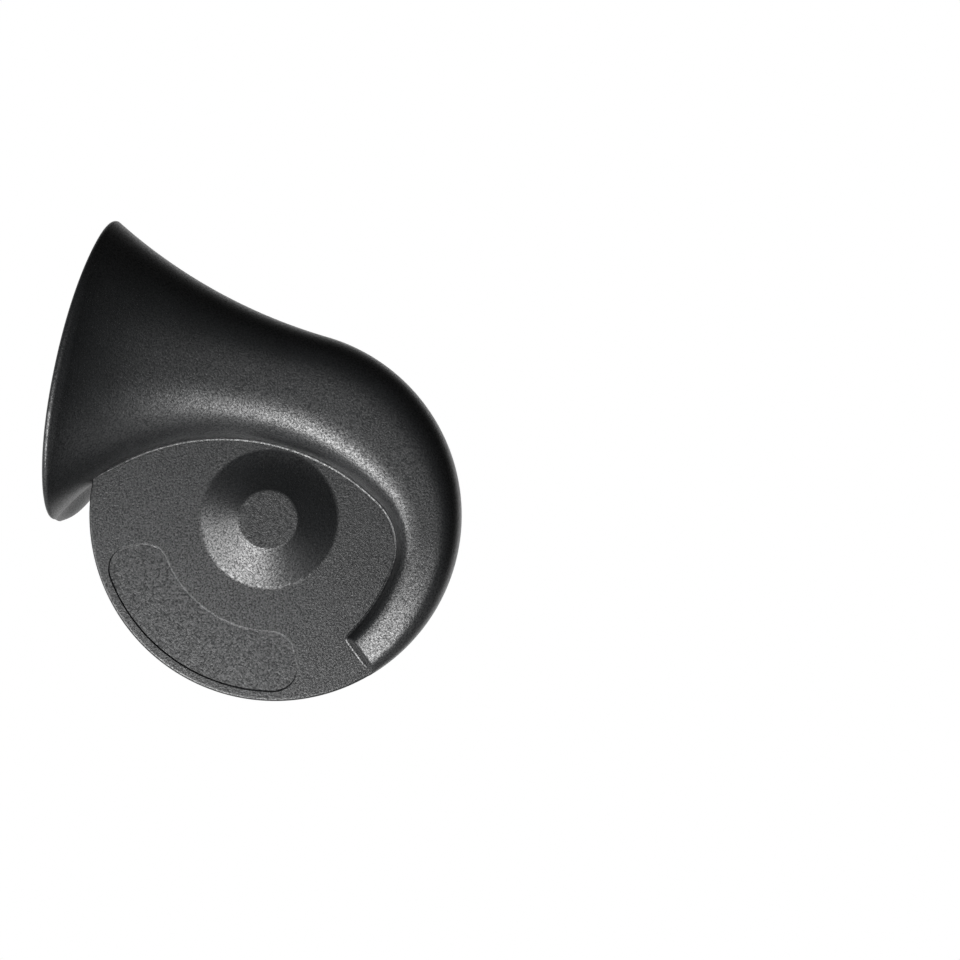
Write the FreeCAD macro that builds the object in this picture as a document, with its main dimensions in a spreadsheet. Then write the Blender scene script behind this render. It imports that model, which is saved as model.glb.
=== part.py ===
import FreeCAD, Part
import Sketcher
import math
import os

from FreeCAD import Placement, Rotation, Vector

# A disc-type car horn: a flat round electric driver behind a moulded spiral
# trumpet.  Lengths are in millimetres and angles in degrees.
#
# The driver's axis runs along Y through x = 0, z = 0, and y = 0 is the plane
# where the two trumpet mouldings meet: y grows from the front to the back.
# At the end every piece is moved so that the origin is the centre of the
# bracket's fixing hole on its rear face.

SIZES = {
    # the round front of the trumpet
    "disc_radius": 44.0,
    "disc_shift_x": 1.4,
    "disc_shift_z": 0.95,
    "disc_depth": 8.0,
    "disc_rim_fillet": 0.6,
    "shell_wall": 2.2,
    "boss_base_radius": 16.2,
    "boss_top_radius": 7.0,
    "boss_height": 4.0,
    "pad_margin": 2.3,
    "pad_width": 14.1,
    "pad_start_angle": 192.0,
    "pad_sweep_angle": 86.0,
    "pad_corner_radius": 5.5,
    "pad_recess": 0.3,
    # the spiral ridge, seen from the front
    "ridge_overhang": 0.6,
    "ridge_start_angle": 301.5,
    "ridge_wrap_angle": 132.3,
    "flare_radius": 129.0,
    "flare_sweep_angle": 26.0,
    "inner_start_x": 18.26,
    "inner_start_z": -28.19,
    "inner_start_angle": 42.55,
    "inner_tail_radius": 41.9,
    "inner_tail_angle": 27.6,
    "inner_turn_radius": 14.8,
    "inner_turn_angle": 65.5,
    "inner_run_radius": 52.4,
    "inner_run_angle": 97.0,
    "station_lead_ratio": 0.8,
    "tail_depth": 12.5,
    "ridge_depth": 17.0,
    "tail_climb_ratio": 0.22,
    "bell_front_depth": 31.0,
    "depth_growth_exponent": 3.5,
    "bell_rear_depth": 33.0,
    "rear_start_ratio": 0.30,
    "rear_growth_exponent": 1.2,
    "tail_square_exponent": 4.6,
    "bell_square_exponent": 2.3,
    "tail_draft_ratio": 0.26,
    "lip_bulge_ratio": 0.3,
    "mouth_bow_radius": 230.0,
    # the passage between the throat and the ridge's tail
    "passage_wall": 1.8,
    "throat_radius": 12.0,
    "throat_edge": 0.5,
    "passage_start_angle": 40.0,
    "passage_turn_angle": 80.0,
    "passage_width": 8.9,
    "tail_gate_length": 12.0,
    "seam_play": 0.6,
    # the back of the trumpet and its seat for the driver
    "plate_thickness": 2.5,
    "chamber_depth": 5.5,
    "seat_margin": 5.5,
    "seat_lip": 2.0,
    "neck_wall": 3.5,
    "seat_thickness": 3.0,
    "driver_gap": 1.2,
    "driver_room_depth": 0.5,
    "wrap_wall": 2.5,
    # the driver's case
    "gasket_thickness": 0.5,
    "diaphragm_thickness": 0.3,
    "diaphragm_edge_gap": 0.5,
    "corrugation_margin": 6.0,
    "corrugation_width": 3.0,
    "corrugation_height": 0.8,
    "case_thickness": 1.0,
    "case_fit": 0.3,
    "hook_thickness": 0.9,
    "case_corner_radius": 0.9,
    "shelf_depth": 7.7,
    "shelf_width": 9.5,
    "cup_depth": 13.0,
    # the armature, core and coil
    "spigot_radius": 3.5,
    "spigot_head_radius": 5.0,
    "spigot_head_height": 0.8,
    "spigot_fit": 0.1,
    "clamp_washer_radius": 9.0,
    "clamp_washer_thickness": 1.0,
    "armature_shoulder": 1.5,
    "armature_radius": 7.8,
    "armature_length": 12.2,
    "collar_radius": 12.0,
    "collar_thickness": 2.2,
    "air_gap": 1.0,
    "core_radius": 8.0,
    "stud_radius": 4.0,
    "stud_reach": 12.0,
    "stud_chamfer": 0.8,
    "stud_fit": 0.15,
    "bobbin_length": 11.2,
    "bobbin_fit": 0.6,
    "bobbin_wall": 1.2,
    "bobbin_gap": 0.9,
    "winding_margin": 2.0,
    # the contact breaker
    "stack_half_width": 8.0,
    "stack_gap": 1.6,
    "stack_depth": 5.8,
    "strip_half_width": 4.0,
    "rear_insulator": 1.6,
    "arm_thickness": 0.4,
    "front_insulator": 1.2,
    "fixed_thickness": 0.8,
    "fixed_margin": 3.2,
    "arm_overlap": 2.5,
    "contact_margin": 3.0,
    "contact_radius": 1.7,
    "arm_gap": 0.3,
    "contact_rivet_radius": 1.2,
    "contact_rivet_head": 2.0,
    "contact_rivet_head_height": 0.6,
    "contact_rivet_x": 5.8,
    "contact_rivet_margin": 2.2,
    "hole_fit": 0.1,
    "adjuster_radius": 1.75,
    "adjuster_margin": 3.2,
    "adjuster_reach": 5.0,
    "adjuster_slot": 0.7,
    "adjuster_clear": 0.5,
    "locknut_flats": 5.5,
    "locknut_height": 2.4,
    # the terminals
    "base_angle": 45.0,
    "base_width": 15.0,
    "base_margin": 1.3,
    "base_depth": 7.4,
    "base_height": 9.0,
    "blade_width": 6.3,
    "blade_thickness": 0.8,
    "blade_length": 8.5,
    "blade_seat": 7.5,
    "blade_spacing": 9.0,
    "blade_fit": 0.05,
    "blade_corner": 1.2,
    "blade_hole_radius": 0.9,
    "terminal_rivet_radius": 1.5,
    "terminal_rivet_head": 2.7,
    "terminal_rivet_head_height": 0.8,
    # the mounting bracket and its fixings
    "bracket_thickness": 2.5,
    "bracket_half_width": 9.0,
    "bracket_pitch": 34.0,
    "bracket_offset": 10.0,
    "bracket_bend_start": 12.5,
    "bracket_hole_radius": 4.25,
    "washer_inner_radius": 4.2,
    "washer_outer_radius": 7.4,
    "washer_thickness": 2.0,
    "washer_split_angle": 14.0,
    "nut_flats": 13.0,
    "nut_height": 6.5,
    "nut_fit": 0.05,
    "nut_chamfer": 0.6,
}

doc = FreeCAD.newDocument("CarHorn")
sheet = doc.addObject("Spreadsheet::Sheet", "Sizes")
for row, (alias, number) in enumerate(SIZES.items(), start=1):
    sheet.set("A%d" % row, alias)
    sheet.set("B%d" % row, str(number))
    sheet.setAlias("B%d" % row, alias)
doc.recompute()


class Size:
    """A length: the expression that binds it to the sheet, and its value."""

    def __init__(self, text, number):
        self.text = text
        self.number = number

    def __add__(self, other):
        other = as_size(other)
        return Size("(%s + %s)" % (self.text, other.text), self.number + other.number)

    def __sub__(self, other):
        other = as_size(other)
        return Size("(%s - %s)" % (self.text, other.text), self.number - other.number)

    def __mul__(self, other):
        other = as_size(other)
        return Size("(%s * %s)" % (self.text, other.text), self.number * other.number)

    def __truediv__(self, other):
        other = as_size(other)
        return Size("(%s / %s)" % (self.text, other.text), self.number / other.number)

    def __neg__(self):
        return Size("(0 - %s)" % self.text, -self.number)


def as_size(value):
    return value if isinstance(value, Size) else Size(repr(float(value)), float(value))


def size(alias):
    return Size("Sizes.%s" % alias, float(sheet.get(alias)))


def num(alias):
    return float(sheet.get(alias))


def bind(obj, prop, value):
    obj.setExpression(prop, as_size(value).text)


# Radii of the driver, each from the one it fits round or into.
seat_radius = size("disc_radius") - size("seat_margin")
neck_radius = seat_radius - size("seat_lip")
chamber_radius = neck_radius - size("neck_wall")
diaphragm_radius = seat_radius - size("diaphragm_edge_gap")
skirt_inner = seat_radius + size("case_fit")
skirt_outer = skirt_inner + size("case_thickness")
case_radius = chamber_radius + size("case_thickness")
cup_radius = case_radius - size("shelf_width")
bobbin_radius = cup_radius - size("case_thickness") - size("bobbin_gap")
winding_radius = bobbin_radius - size("winding_margin")
bobbin_bore = size("armature_radius") + size("bobbin_fit")
bobbin_hub = bobbin_bore + size("bobbin_wall")
stack_outer = chamber_radius - size("stack_gap")
stack_inner = stack_outer - size("stack_depth")
base_outer = case_radius - size("base_margin")
base_inner = base_outer - size("base_depth")
fixed_reach = size("collar_radius") + size("fixed_margin")
arm_reach = size("collar_radius") - size("arm_overlap")
contact_place = fixed_reach + size("contact_margin")

# Places along the driver's axis, each from the one before it.
plate_back = size("plate_thickness")
seat_face = plate_back + size("chamber_depth")
seat_front = seat_face - size("seat_thickness")
front_gasket_back = seat_face + size("gasket_thickness")
diaphragm_back = front_gasket_back + size("diaphragm_thickness")
case_face = diaphragm_back + size("gasket_thickness")
case_inside_front = case_face + size("case_thickness")
shelf_back = case_face + size("shelf_depth")
shelf_face = shelf_back - size("case_thickness")
case_back = shelf_back + size("cup_depth")
case_inside_back = case_back - size("case_thickness")
armature_end = diaphragm_back + size("armature_length")
core_face = armature_end + size("air_gap")
bobbin_front = case_inside_back - size("bobbin_length")
arm_back = shelf_face - size("rear_insulator")
arm_face = arm_back - size("arm_thickness")
fixed_back = arm_face - size("front_insulator")
fixed_face = fixed_back - size("fixed_thickness")
contact_plane = (arm_face + fixed_back) / 2
collar_back = arm_face - size("arm_gap")
collar_front = collar_back - size("collar_thickness")
base_back = shelf_back + size("base_height")
bracket_front = case_back
bracket_back = bracket_front + size("bracket_thickness")
washer_back = bracket_back + size("washer_thickness")
mount_face = bracket_back + size("bracket_offset")

# The origin, seen from the driver's axis.
origin_y = mount_face
origin_z = size("bracket_pitch")

PIECES = []


def place(obj, x=0.0, y=0.0, z=0.0):
    """Move a finished piece from the driver's axis to the bracket's hole."""
    bind(obj, "Placement.Base.x", as_size(x))
    bind(obj, "Placement.Base.y", as_size(y) - origin_y)
    bind(obj, "Placement.Base.z", as_size(z) - origin_z)


def piece(obj, label, x=0.0, y=0.0, z=0.0):
    obj.Label = label
    place(obj, x, y, z)
    PIECES.append(obj)
    return obj


def plane_of(body, role):
    for feature in body.Origin.OriginFeatures:
        if feature.Role == role:
            return feature
    raise RuntimeError("no plane " + role)


def new_body(name):
    return doc.addObject("PartDesign::Body", name)


def new_sketch(body, name, role, offset=None):
    """A sketch on one of the body's planes, moved along the plane's normal."""
    sketch = body.newObject("Sketcher::SketchObject", name)
    sketch.AttachmentSupport = [(plane_of(body, role), "")]
    sketch.MapMode = "FlatFace"
    if offset is not None:
        bind(sketch, "AttachmentOffset.Base.z", offset)
    return sketch


def fix_point(sketch, geometry, end, x, y):
    """Bind a sketch point's two coordinates."""
    for kind, prop, value in (("DistanceX", "x", as_size(x)), ("DistanceY", "y", as_size(y))):
        name = "p%d_%d_%s" % (geometry, end, prop)
        index = sketch.addConstraint(
            Sketcher.Constraint(kind, -1, 1, geometry, end, value.number))
        sketch.renameConstraint(index, name)
        bind(sketch, "Constraints." + name, value)


def draw_polygon(sketch, points):
    """A closed outline with every corner's two coordinates bound."""
    first = sketch.GeometryCount
    count = len(points)
    flat = [(as_size(a), as_size(b)) for a, b in points]
    for i in range(count):
        a = flat[i]
        b = flat[(i + 1) % count]
        sketch.addGeometry(Part.LineSegment(
            Vector(a[0].number, a[1].number, 0), Vector(b[0].number, b[1].number, 0)), False)
    for i in range(count):
        sketch.addConstraint(Sketcher.Constraint(
            "Coincident", first + i, 2, first + (i + 1) % count, 1))
    for i in range(count):
        fix_point(sketch, first + i, 1, flat[i][0], flat[i][1])


def draw_circle(sketch, x, y, radius):
    x, y, radius = as_size(x), as_size(y), as_size(radius)
    index = sketch.addGeometry(
        Part.Circle(Vector(x.number, y.number, 0), Vector(0, 0, 1), radius.number), False)
    fix_point(sketch, index, 3, x, y)
    rule = sketch.addConstraint(Sketcher.Constraint("Radius", index, radius.number))
    name = "radius_%d" % index
    sketch.renameConstraint(rule, name)
    bind(sketch, "Constraints." + name, radius)


def turned(name, points, angle=360.0):
    """A turned piece: an outline of (y, radius) corners revolved about Y."""
    body = new_body(name)
    sketch = new_sketch(body, name + "_profile", "YZ_Plane")
    draw_polygon(sketch, points)
    turn = body.newObject("PartDesign::Revolution", name + "_turn")
    turn.Profile = sketch
    turn.ReferenceAxis = (sketch, ["H_Axis"])
    bind(turn, "Angle", angle)
    doc.recompute()
    return body


def padded(name, draw, front, thickness):
    """A flat piece: an outline of (x, z) drawn at y = front, padded backwards."""
    body = new_body(name)
    sketch = new_sketch(body, name + "_outline", "XZ_Plane", -as_size(front))
    draw(sketch)
    pad = body.newObject("PartDesign::Pad", name + "_pad")
    pad.Profile = sketch
    pad.Reversed = True
    bind(pad, "Length", thickness)
    doc.recompute()
    return body


def drilled(body, name, draw):
    """Cut a drawn outline right through the body along Y."""
    before = body.Shape.Volume
    sketch = new_sketch(body, name + "_outline", "XZ_Plane")
    draw(sketch)
    pocket = body.newObject("PartDesign::Pocket", name)
    pocket.Profile = sketch
    pocket.Type = "ThroughAll"
    pocket.Midplane = True
    doc.recompute()
    if not body.Shape.Volume < before - 1e-6:
        raise RuntimeError(name + " cuts nothing")
    return pocket


def rounded(body, name, radius, rings):
    """Round the body's outer edges that are whole circles at (y, radius)."""
    base = body.Tip
    edges = []
    for index, edge in enumerate(base.Shape.Edges):
        if len(edge.Vertexes) != 1 or not isinstance(edge.Curve, Part.Circle):
            continue
        for y, ring in rings:
            if (abs(edge.Curve.Center.y - y.number) < 1e-3
                    and abs(edge.Curve.Radius - ring.number) < 1e-3):
                edges.append("Edge%d" % (index + 1))
    if len(edges) != len(rings):
        raise RuntimeError(name + " finds %d of %d edges" % (len(edges), len(rings)))
    fillet = body.newObject("PartDesign::Fillet", name)
    fillet.Base = (base, edges)
    bind(fillet, "Radius", radius)
    doc.recompute()


def draw_hexagon(sketch, flats):
    """A hexagon with two flats facing up and down."""
    half = as_size(flats) / 2
    corner = half / math.cos(math.radians(30))
    draw_polygon(sketch, [
        (corner, 0.0),
        (corner / 2, half),
        (-corner / 2, half),
        (-corner, 0.0),
        (-corner / 2, -half),
        (corner / 2, -half),
    ])


# The trumpet's spiral.  Seen from the front it runs between two edges.  The
# outer edge follows the disc's circle and then flares away from it; the inner
# edge is three arcs, each tangent to the next.  A station v runs from 0 at the
# tail to 1 at the mouth, and a section at each station joins the two edges.

def along_arcs(x, z, heading, chain, distance):
    """A point on a chain of tangent arcs (radius, sweep), at a distance."""
    heading = math.radians(heading)
    for radius, sweep in chain:
        turn = math.copysign(1.0, sweep)
        step = min(distance, radius * math.radians(abs(sweep)))
        cx = x - turn * radius * math.sin(heading)
        cz = z + turn * radius * math.cos(heading)
        heading += turn * step / radius
        x = cx + turn * radius * math.sin(heading)
        z = cz - turn * radius * math.cos(heading)
        distance -= step
        if distance <= 0:
            return x, z
    return x + distance * math.cos(heading), z + distance * math.sin(heading)


def chain_length(chain):
    return sum(radius * math.radians(abs(sweep)) for radius, sweep in chain)


def spiral_edges(v):
    """The inner and the outer edge at station v."""
    inner_chain = [
        (num("inner_tail_radius"), num("inner_tail_angle")),
        (num("inner_turn_radius"), num("inner_turn_angle")),
        (num("inner_run_radius"), num("inner_run_angle")),
    ]
    wall_radius = num("disc_radius") + num("ridge_overhang")
    outer_chain = [
        (wall_radius, num("ridge_wrap_angle")),
        (num("flare_radius"), -num("flare_sweep_angle")),
    ]
    start = math.radians(num("ridge_start_angle"))
    lead = num("station_lead_ratio") * v * v * (1 - v) if v < 1 else 0.0
    inner = along_arcs(num("inner_start_x"), num("inner_start_z"),
                       num("inner_start_angle"), inner_chain, v * chain_length(inner_chain))
    outer = along_arcs(num("disc_shift_x") + wall_radius * math.cos(start),
                       num("disc_shift_z") + wall_radius * math.sin(start),
                       num("ridge_start_angle") + 90, outer_chain,
                       (v + lead) * chain_length(outer_chain))
    return inner, outer


def front_depth(v):
    """The crown climbs from the tail's depth to the ridge's, then flares to the bell's."""
    share = max(v, 0.0)
    left = max(1 - share / num("tail_climb_ratio"), 0.0)
    climb = (num("ridge_depth") - num("tail_depth")) * left ** 2
    flare = (num("bell_front_depth") - num("ridge_depth")) * share ** num("depth_growth_exponent")
    return num("ridge_depth") - climb + flare


def rear_depth(v):
    share = max((v - num("rear_start_ratio")) / (1 - num("rear_start_ratio")), 0.0)
    return num("bell_rear_depth") * share ** num("rear_growth_exponent")


def duct_point(v, turn, side, inset, overlap):
    """A point of the duct's wall.

    The section is a superellipse whose exponent falls from a boxy tail to a
    round bell.  turn runs from 0 at the outer edge to pi at the inner edge,
    side is -1 for the front half and 1 for the rear half.
    """
    (ax, az), (bx, bz) = spiral_edges(v)
    half = math.hypot(bx - ax, bz - az) / 2
    dx, dz = (bx - ax) / 2 / half, (bz - az) / 2 / half
    share = min(max(v, 0.0), 1.0)
    boxy = num("tail_square_exponent")
    power = boxy + (num("bell_square_exponent") - boxy) * share
    depth = front_depth(v) if side < 0 else rear_depth(v)
    depth = max(depth - inset, 0.05) + overlap
    c = math.cos(turn)
    s = math.sin(turn)
    if turn <= 0.0 or turn >= math.pi:
        s = 0.0
    across = math.copysign(abs(c) ** (2 / power), c)
    if side > 0 and c < 0:
        across -= num("lip_bulge_ratio") * s * c * c * max(share - 0.6, 0.0) / 0.4
    down = depth * abs(s) ** (2 / power)
    lean = 0.0
    if side < 0:
        lean = num("tail_draft_ratio") * (1 - share) ** 6 * (down - num("disc_depth"))
    x = (ax + bx) / 2 + (half - inset) * across * dx - lean * dz
    z = (az + bz) / 2 + (half - inset) * across * dz + lean * dx
    return Vector(x, side * (down - overlap), z)


def duct(side, v_start, v_end, inset=0.0, overlap=0.0, stations=24, around=17):
    """Half of the duct as a solid, flat on the plane y = -side * overlap."""
    rows = []
    for j in range(stations):
        v = v_start + (v_end - v_start) * j / (stations - 1)
        rows.append([duct_point(v, math.pi * k / (around - 1), side, inset, overlap)
                     for k in range(around)])
    wall = Part.BSplineSurface()
    wall.interpolate(rows)
    skin = wall.toShape()

    def border(p, q):
        for edge in skin.Edges:
            ends = (edge.Vertexes[0].Point, edge.Vertexes[-1].Point)
            for a, b in (ends, ends[::-1]):
                if a.distanceToPoint(p) < 1e-4 and b.distanceToPoint(q) < 1e-4:
                    return edge
        raise RuntimeError("the duct's border is open")

    corners = (rows[0][0], rows[0][-1], rows[-1][0], rows[-1][-1])
    tail_line = Part.LineSegment(corners[0], corners[1]).toShape()
    mouth_line = Part.LineSegment(corners[2], corners[3]).toShape()
    tail_arc = border(corners[0], corners[1])
    mouth_arc = border(corners[2], corners[3])
    outer_run = border(corners[0], corners[2])
    inner_run = border(corners[1], corners[3])
    faces = [skin]
    for edges in ([tail_line, outer_run, mouth_line, inner_run],
                  [tail_arc, tail_line], [mouth_arc, mouth_line]):
        faces.append(Part.Face(Part.Wire(Part.sortEdges(edges)[0])))
    shell = Part.makeShell(faces)
    shell.sewShape()
    solid = Part.makeSolid(shell)
    if solid.Volume < 0:
        solid.reverse()
    return solid


def coded(name, shape):
    """A shape made in code from the sheet's values."""
    feature = doc.addObject("Part::Feature", name)
    feature.Shape = shape
    return feature


def cylinder(name, radius, front, back, x=0.0, z=0.0):
    """A cylinder along Y between two places."""
    tool = doc.addObject("Part::Cylinder", name)
    bind(tool, "Radius", radius)
    bind(tool, "Height", as_size(back) - front)
    tool.Placement = Placement(Vector(0, 0, 0), Rotation(Vector(1, 0, 0), -90))
    bind(tool, "Placement.Base.x", x)
    bind(tool, "Placement.Base.y", front)
    bind(tool, "Placement.Base.z", z)
    return tool


def cone(name, front_radius, back_radius, front, back):
    tool = doc.addObject("Part::Cone", name)
    bind(tool, "Radius1", front_radius)
    bind(tool, "Radius2", back_radius)
    bind(tool, "Height", as_size(back) - front)
    tool.Placement = Placement(Vector(0, 0, 0), Rotation(Vector(1, 0, 0), -90))
    bind(tool, "Placement.Base.y", front)
    return tool


def fused(name, tools):
    result = doc.addObject("Part::MultiFuse", name)
    result.Shapes = tools
    return result


def cut(name, base, tool):
    result = doc.addObject("Part::Cut", name)
    result.Base = base
    result.Tool = tool
    return result


def common(name, base, tool):
    result = doc.addObject("Part::Common", name)
    result.Base = base
    result.Tool = tool
    return result


def spiral_wall(start, start_radius, end, end_radius):
    """A wall on an even spiral, as wide as the passage's wall, up to y = 0."""
    half = num("passage_wall") / 2
    edges = []
    for offset in (-half, half):
        points = []
        for i in range(25):
            angle = math.radians(start + (end - start) * i / 24)
            radius = start_radius + (end_radius - start_radius) * i / 24 + offset
            points.append(Vector(radius * math.cos(angle), 0, radius * math.sin(angle)))
        curve = Part.BSplineCurve()
        curve.interpolate(Points=points)
        edges.append(curve.toShape())
    closing = []
    for index in (0, -1):
        ends = [edge.Vertexes[index].Point for edge in edges]
        closing.append(Part.LineSegment(ends[0], ends[1]).toShape())
    face = Part.Face(Part.Wire(Part.sortEdges(edges + closing)[0]))
    return face.extrude(Vector(0, -(num("disc_depth") - num("shell_wall") / 2), 0))


disc_x = size("disc_shift_x")
disc_z = size("disc_shift_z")
face_front = -size("disc_depth")
face_inside = face_front + size("shell_wall")

# The mouth is cut by a wide cylinder, so that its rim bows outwards a little.
(lip_x, lip_z), (tip_x, tip_z) = spiral_edges(1.0)
half_mouth = math.hypot(tip_x - lip_x, tip_z - lip_z) / 2
mouth_back = math.sqrt(num("mouth_bow_radius") ** 2 - half_mouth ** 2)
mouth_dx = (tip_z - lip_z) / (2 * half_mouth)
mouth_dz = -(tip_x - lip_x) / (2 * half_mouth)
bow = coded("mouth_bow", Part.makeCylinder(
    num("mouth_bow_radius"), 2 * num("mouth_bow_radius"),
    Vector((lip_x + tip_x) / 2 + mouth_dx * mouth_back, -num("mouth_bow_radius"),
           (lip_z + tip_z) / 2 + mouth_dz * mouth_back), Vector(0, 1, 0)))

# Front moulding: the disc with its raised boss and label pad, the ridge that
# grows out of it into the front half of the bell, and the hollow behind them.
disc = new_body("disc_form")
disc_sketch = new_sketch(disc, "disc_outline", "XZ_Plane")
draw_circle(disc_sketch, disc_x, disc_z, size("disc_radius"))
disc_pad = disc.newObject("PartDesign::Pad", "disc_pad")
disc_pad.Profile = disc_sketch
bind(disc_pad, "Length", size("disc_depth"))
doc.recompute()
rim_edges = [
    "Edge%d" % (i + 1) for i, edge in enumerate(disc_pad.Shape.Edges)
    if len(edge.Vertexes) == 1 and edge.BoundBox.YMax < -num("disc_depth") + 1e-3
]
disc_rim = disc.newObject("PartDesign::Fillet", "disc_rim")
disc_rim.Base = (disc_pad, rim_edges)
bind(disc_rim, "Radius", size("disc_rim_fillet"))
doc.recompute()

boss = cone("boss_form", size("boss_top_radius"), size("boss_base_radius"),
            face_front - size("boss_height"), face_front)
boss_hollow = cone("boss_hollow", size("boss_top_radius") - size("shell_wall"),
                   size("boss_base_radius") - size("shell_wall"),
                   face_inside - size("boss_height"), face_inside)


def label_pad():
    """A sector between two arcs of the disc, with round corners."""
    centre = Vector(num("disc_shift_x"), -num("disc_depth") - 1, num("disc_shift_z"))
    start = math.radians(num("pad_start_angle"))
    end = start + math.radians(num("pad_sweep_angle"))
    outer = num("disc_radius") - num("pad_margin")
    radii = (outer - num("pad_width"), outer)

    def at(radius, angle):
        return centre + Vector(radius * math.cos(angle), 0, radius * math.sin(angle))

    middle = (start + end) / 2
    edges = [
        Part.Arc(at(radii[0], start), at(radii[0], middle), at(radii[0], end)).toShape(),
        Part.LineSegment(at(radii[0], end), at(radii[1], end)).toShape(),
        Part.Arc(at(radii[1], end), at(radii[1], middle), at(radii[1], start)).toShape(),
        Part.LineSegment(at(radii[1], start), at(radii[0], start)).toShape(),
    ]
    solid = Part.Face(Part.Wire(edges)).extrude(Vector(0, 1 + num("pad_recess"), 0))
    upright = [edge for edge in solid.Edges
               if abs(edge.BoundBox.YLength - 1 - num("pad_recess")) < 1e-3
               and edge.BoundBox.XLength < 1e-3 and edge.BoundBox.ZLength < 1e-3]
    return solid.makeFillet(num("pad_corner_radius"), upright)


pad_recess = coded("label_pad", label_pad())
front_outer = coded("front_duct_outer", duct(-1, 0.0, 1.04))
front_inner = coded("front_duct_inner",
                    duct(-1, 0.02, 1.08, num("shell_wall"), num("seam_play")))
front_bell = common("front_duct", front_outer, bow)
front_solid = fused("front_solid", [disc, boss, front_bell])

tail_angle = math.degrees(math.atan2(num("inner_start_z"), num("inner_start_x"))) + 360
tail_radius = math.hypot(num("inner_start_x"), num("inner_start_z"))
hub_radius = num("throat_radius") + num("passage_wall") / 2 + num("throat_edge")
gate = num("passage_start_angle") + num("passage_turn_angle")
walls = [
    coded("hub_wall", spiral_wall(gate, hub_radius, num("passage_start_angle") + 360, hub_radius)),
    coded("passage_inner_wall", spiral_wall(gate, hub_radius, tail_angle, tail_radius)),
    coded("passage_outer_wall", spiral_wall(
        num("passage_start_angle"), hub_radius, tail_angle, tail_radius + num("passage_width"))),
]
hollow = cylinder("front_hollow", size("disc_radius") - size("shell_wall"),
                  face_inside, size("seam_play"), disc_x, disc_z)
front_pocket = cut("front_pocket", hollow, fused("front_walls", walls + [front_outer]))


def tail_gate():
    """The opening in the ridge's tail wall that the passage leads to."""
    (ax, az), (bx, bz) = spiral_edges(0.0)
    length = math.hypot(bx - ax, bz - az)
    width = length - 2 * num("shell_wall")
    room = num("disc_depth") - num("shell_wall")
    run = num("tail_gate_length")
    block = Part.makeBox(width, room + num("seam_play"), run,
                         Vector(-width / 2, -room, -run / 2))
    block.Placement = Placement(
        Vector((ax + bx) / 2, 0, (az + bz) / 2),
        Rotation(Vector(0, 1, 0), -math.degrees(math.atan2(bz - az, bx - ax))))
    return block


gate_box = coded("tail_gate", tail_gate())
front_cut = fused("front_cuts", [front_pocket, front_inner, boss_hollow, gate_box, pad_recess])
piece(cut("front_shell", front_solid, front_cut), "trumpet_front_shell")

# Rear moulding: the plate with the throat, the rear half of the bell cut clear
# of the driver, and the seat that the driver's case is crimped onto.
plate = cylinder("rear_plate", size("disc_radius"), 0.0, plate_back, disc_x, disc_z)
rear_outer = coded("rear_duct_outer", duct(1, num("rear_start_ratio") + 0.01, 1.04))
rear_inner = coded("rear_duct_inner",
                   duct(1, num("rear_start_ratio") + 0.1, 1.08, num("shell_wall"), num("seam_play")))
clear_radius = skirt_outer + size("driver_gap")
clear_back = case_inside_front + size("driver_room_depth")
cup_clear = cup_radius + size("driver_gap")
far_back = size("bell_rear_depth") + size("cup_depth")
wrap_wall = size("wrap_wall")


def driver_room(name, grow, front):
    """Room for the driver: a cylinder, then a cone round its cup."""
    return fused(name, [
        cylinder(name + "_flange", clear_radius + grow, front, clear_back),
        cone(name + "_cone", clear_radius + grow, cup_clear + grow, clear_back, case_back),
        cylinder(name + "_cup", cup_clear + grow, case_back, far_back),
    ])


rear_bell = cut("rear_duct", common("rear_bow", rear_outer, bow),
                driver_room("driver_room", 0.0, plate_back))
rear_hollow = cut("rear_hollow", rear_inner,
                  driver_room("driver_wall", wrap_wall, -1.0))
seat = turned("driver_seat", [
    (plate_back - 0.5, chamber_radius),
    (seat_face, chamber_radius),
    (seat_face, seat_radius),
    (seat_front, seat_radius),
    (seat_front, neck_radius),
    (plate_back - 0.5, neck_radius),
])
throat = cylinder("throat", size("throat_radius"), -1.0, plate_back + 1)
rear_solid = fused("rear_solid", [plate, rear_bell, seat])
rear_cut = fused("rear_cuts", [rear_hollow, throat])
piece(cut("rear_shell", rear_solid, rear_cut), "trumpet_rear_shell")

# Diaphragm between two gaskets.
piece(turned("front_gasket", [
    (seat_face, chamber_radius),
    (front_gasket_back, chamber_radius),
    (front_gasket_back, diaphragm_radius),
    (seat_face, diaphragm_radius),
]), "front_gasket")
ripple = chamber_radius - size("corrugation_margin")
ripple_end = ripple + size("corrugation_width")
ripple_rise = size("corrugation_height")
thin = size("diaphragm_thickness")
hole = size("spigot_radius") + size("spigot_fit")
piece(turned("diaphragm", [
    (front_gasket_back, hole),
    (front_gasket_back, ripple),
    (front_gasket_back - ripple_rise, ripple + size("corrugation_width") / 3),
    (front_gasket_back - ripple_rise, ripple_end - size("corrugation_width") / 3),
    (front_gasket_back, ripple_end),
    (front_gasket_back, diaphragm_radius),
    (diaphragm_back, diaphragm_radius),
    (diaphragm_back, ripple_end - thin / 2),
    (diaphragm_back - ripple_rise, ripple_end - size("corrugation_width") / 3 - thin / 2),
    (diaphragm_back - ripple_rise, ripple + size("corrugation_width") / 3 + thin / 2),
    (diaphragm_back, ripple + thin / 2),
    (diaphragm_back, hole),
]), "diaphragm")
piece(turned("rear_gasket", [
    (diaphragm_back, chamber_radius),
    (case_face, chamber_radius),
    (case_face, diaphragm_radius),
    (diaphragm_back, diaphragm_radius),
]), "rear_gasket")

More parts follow.
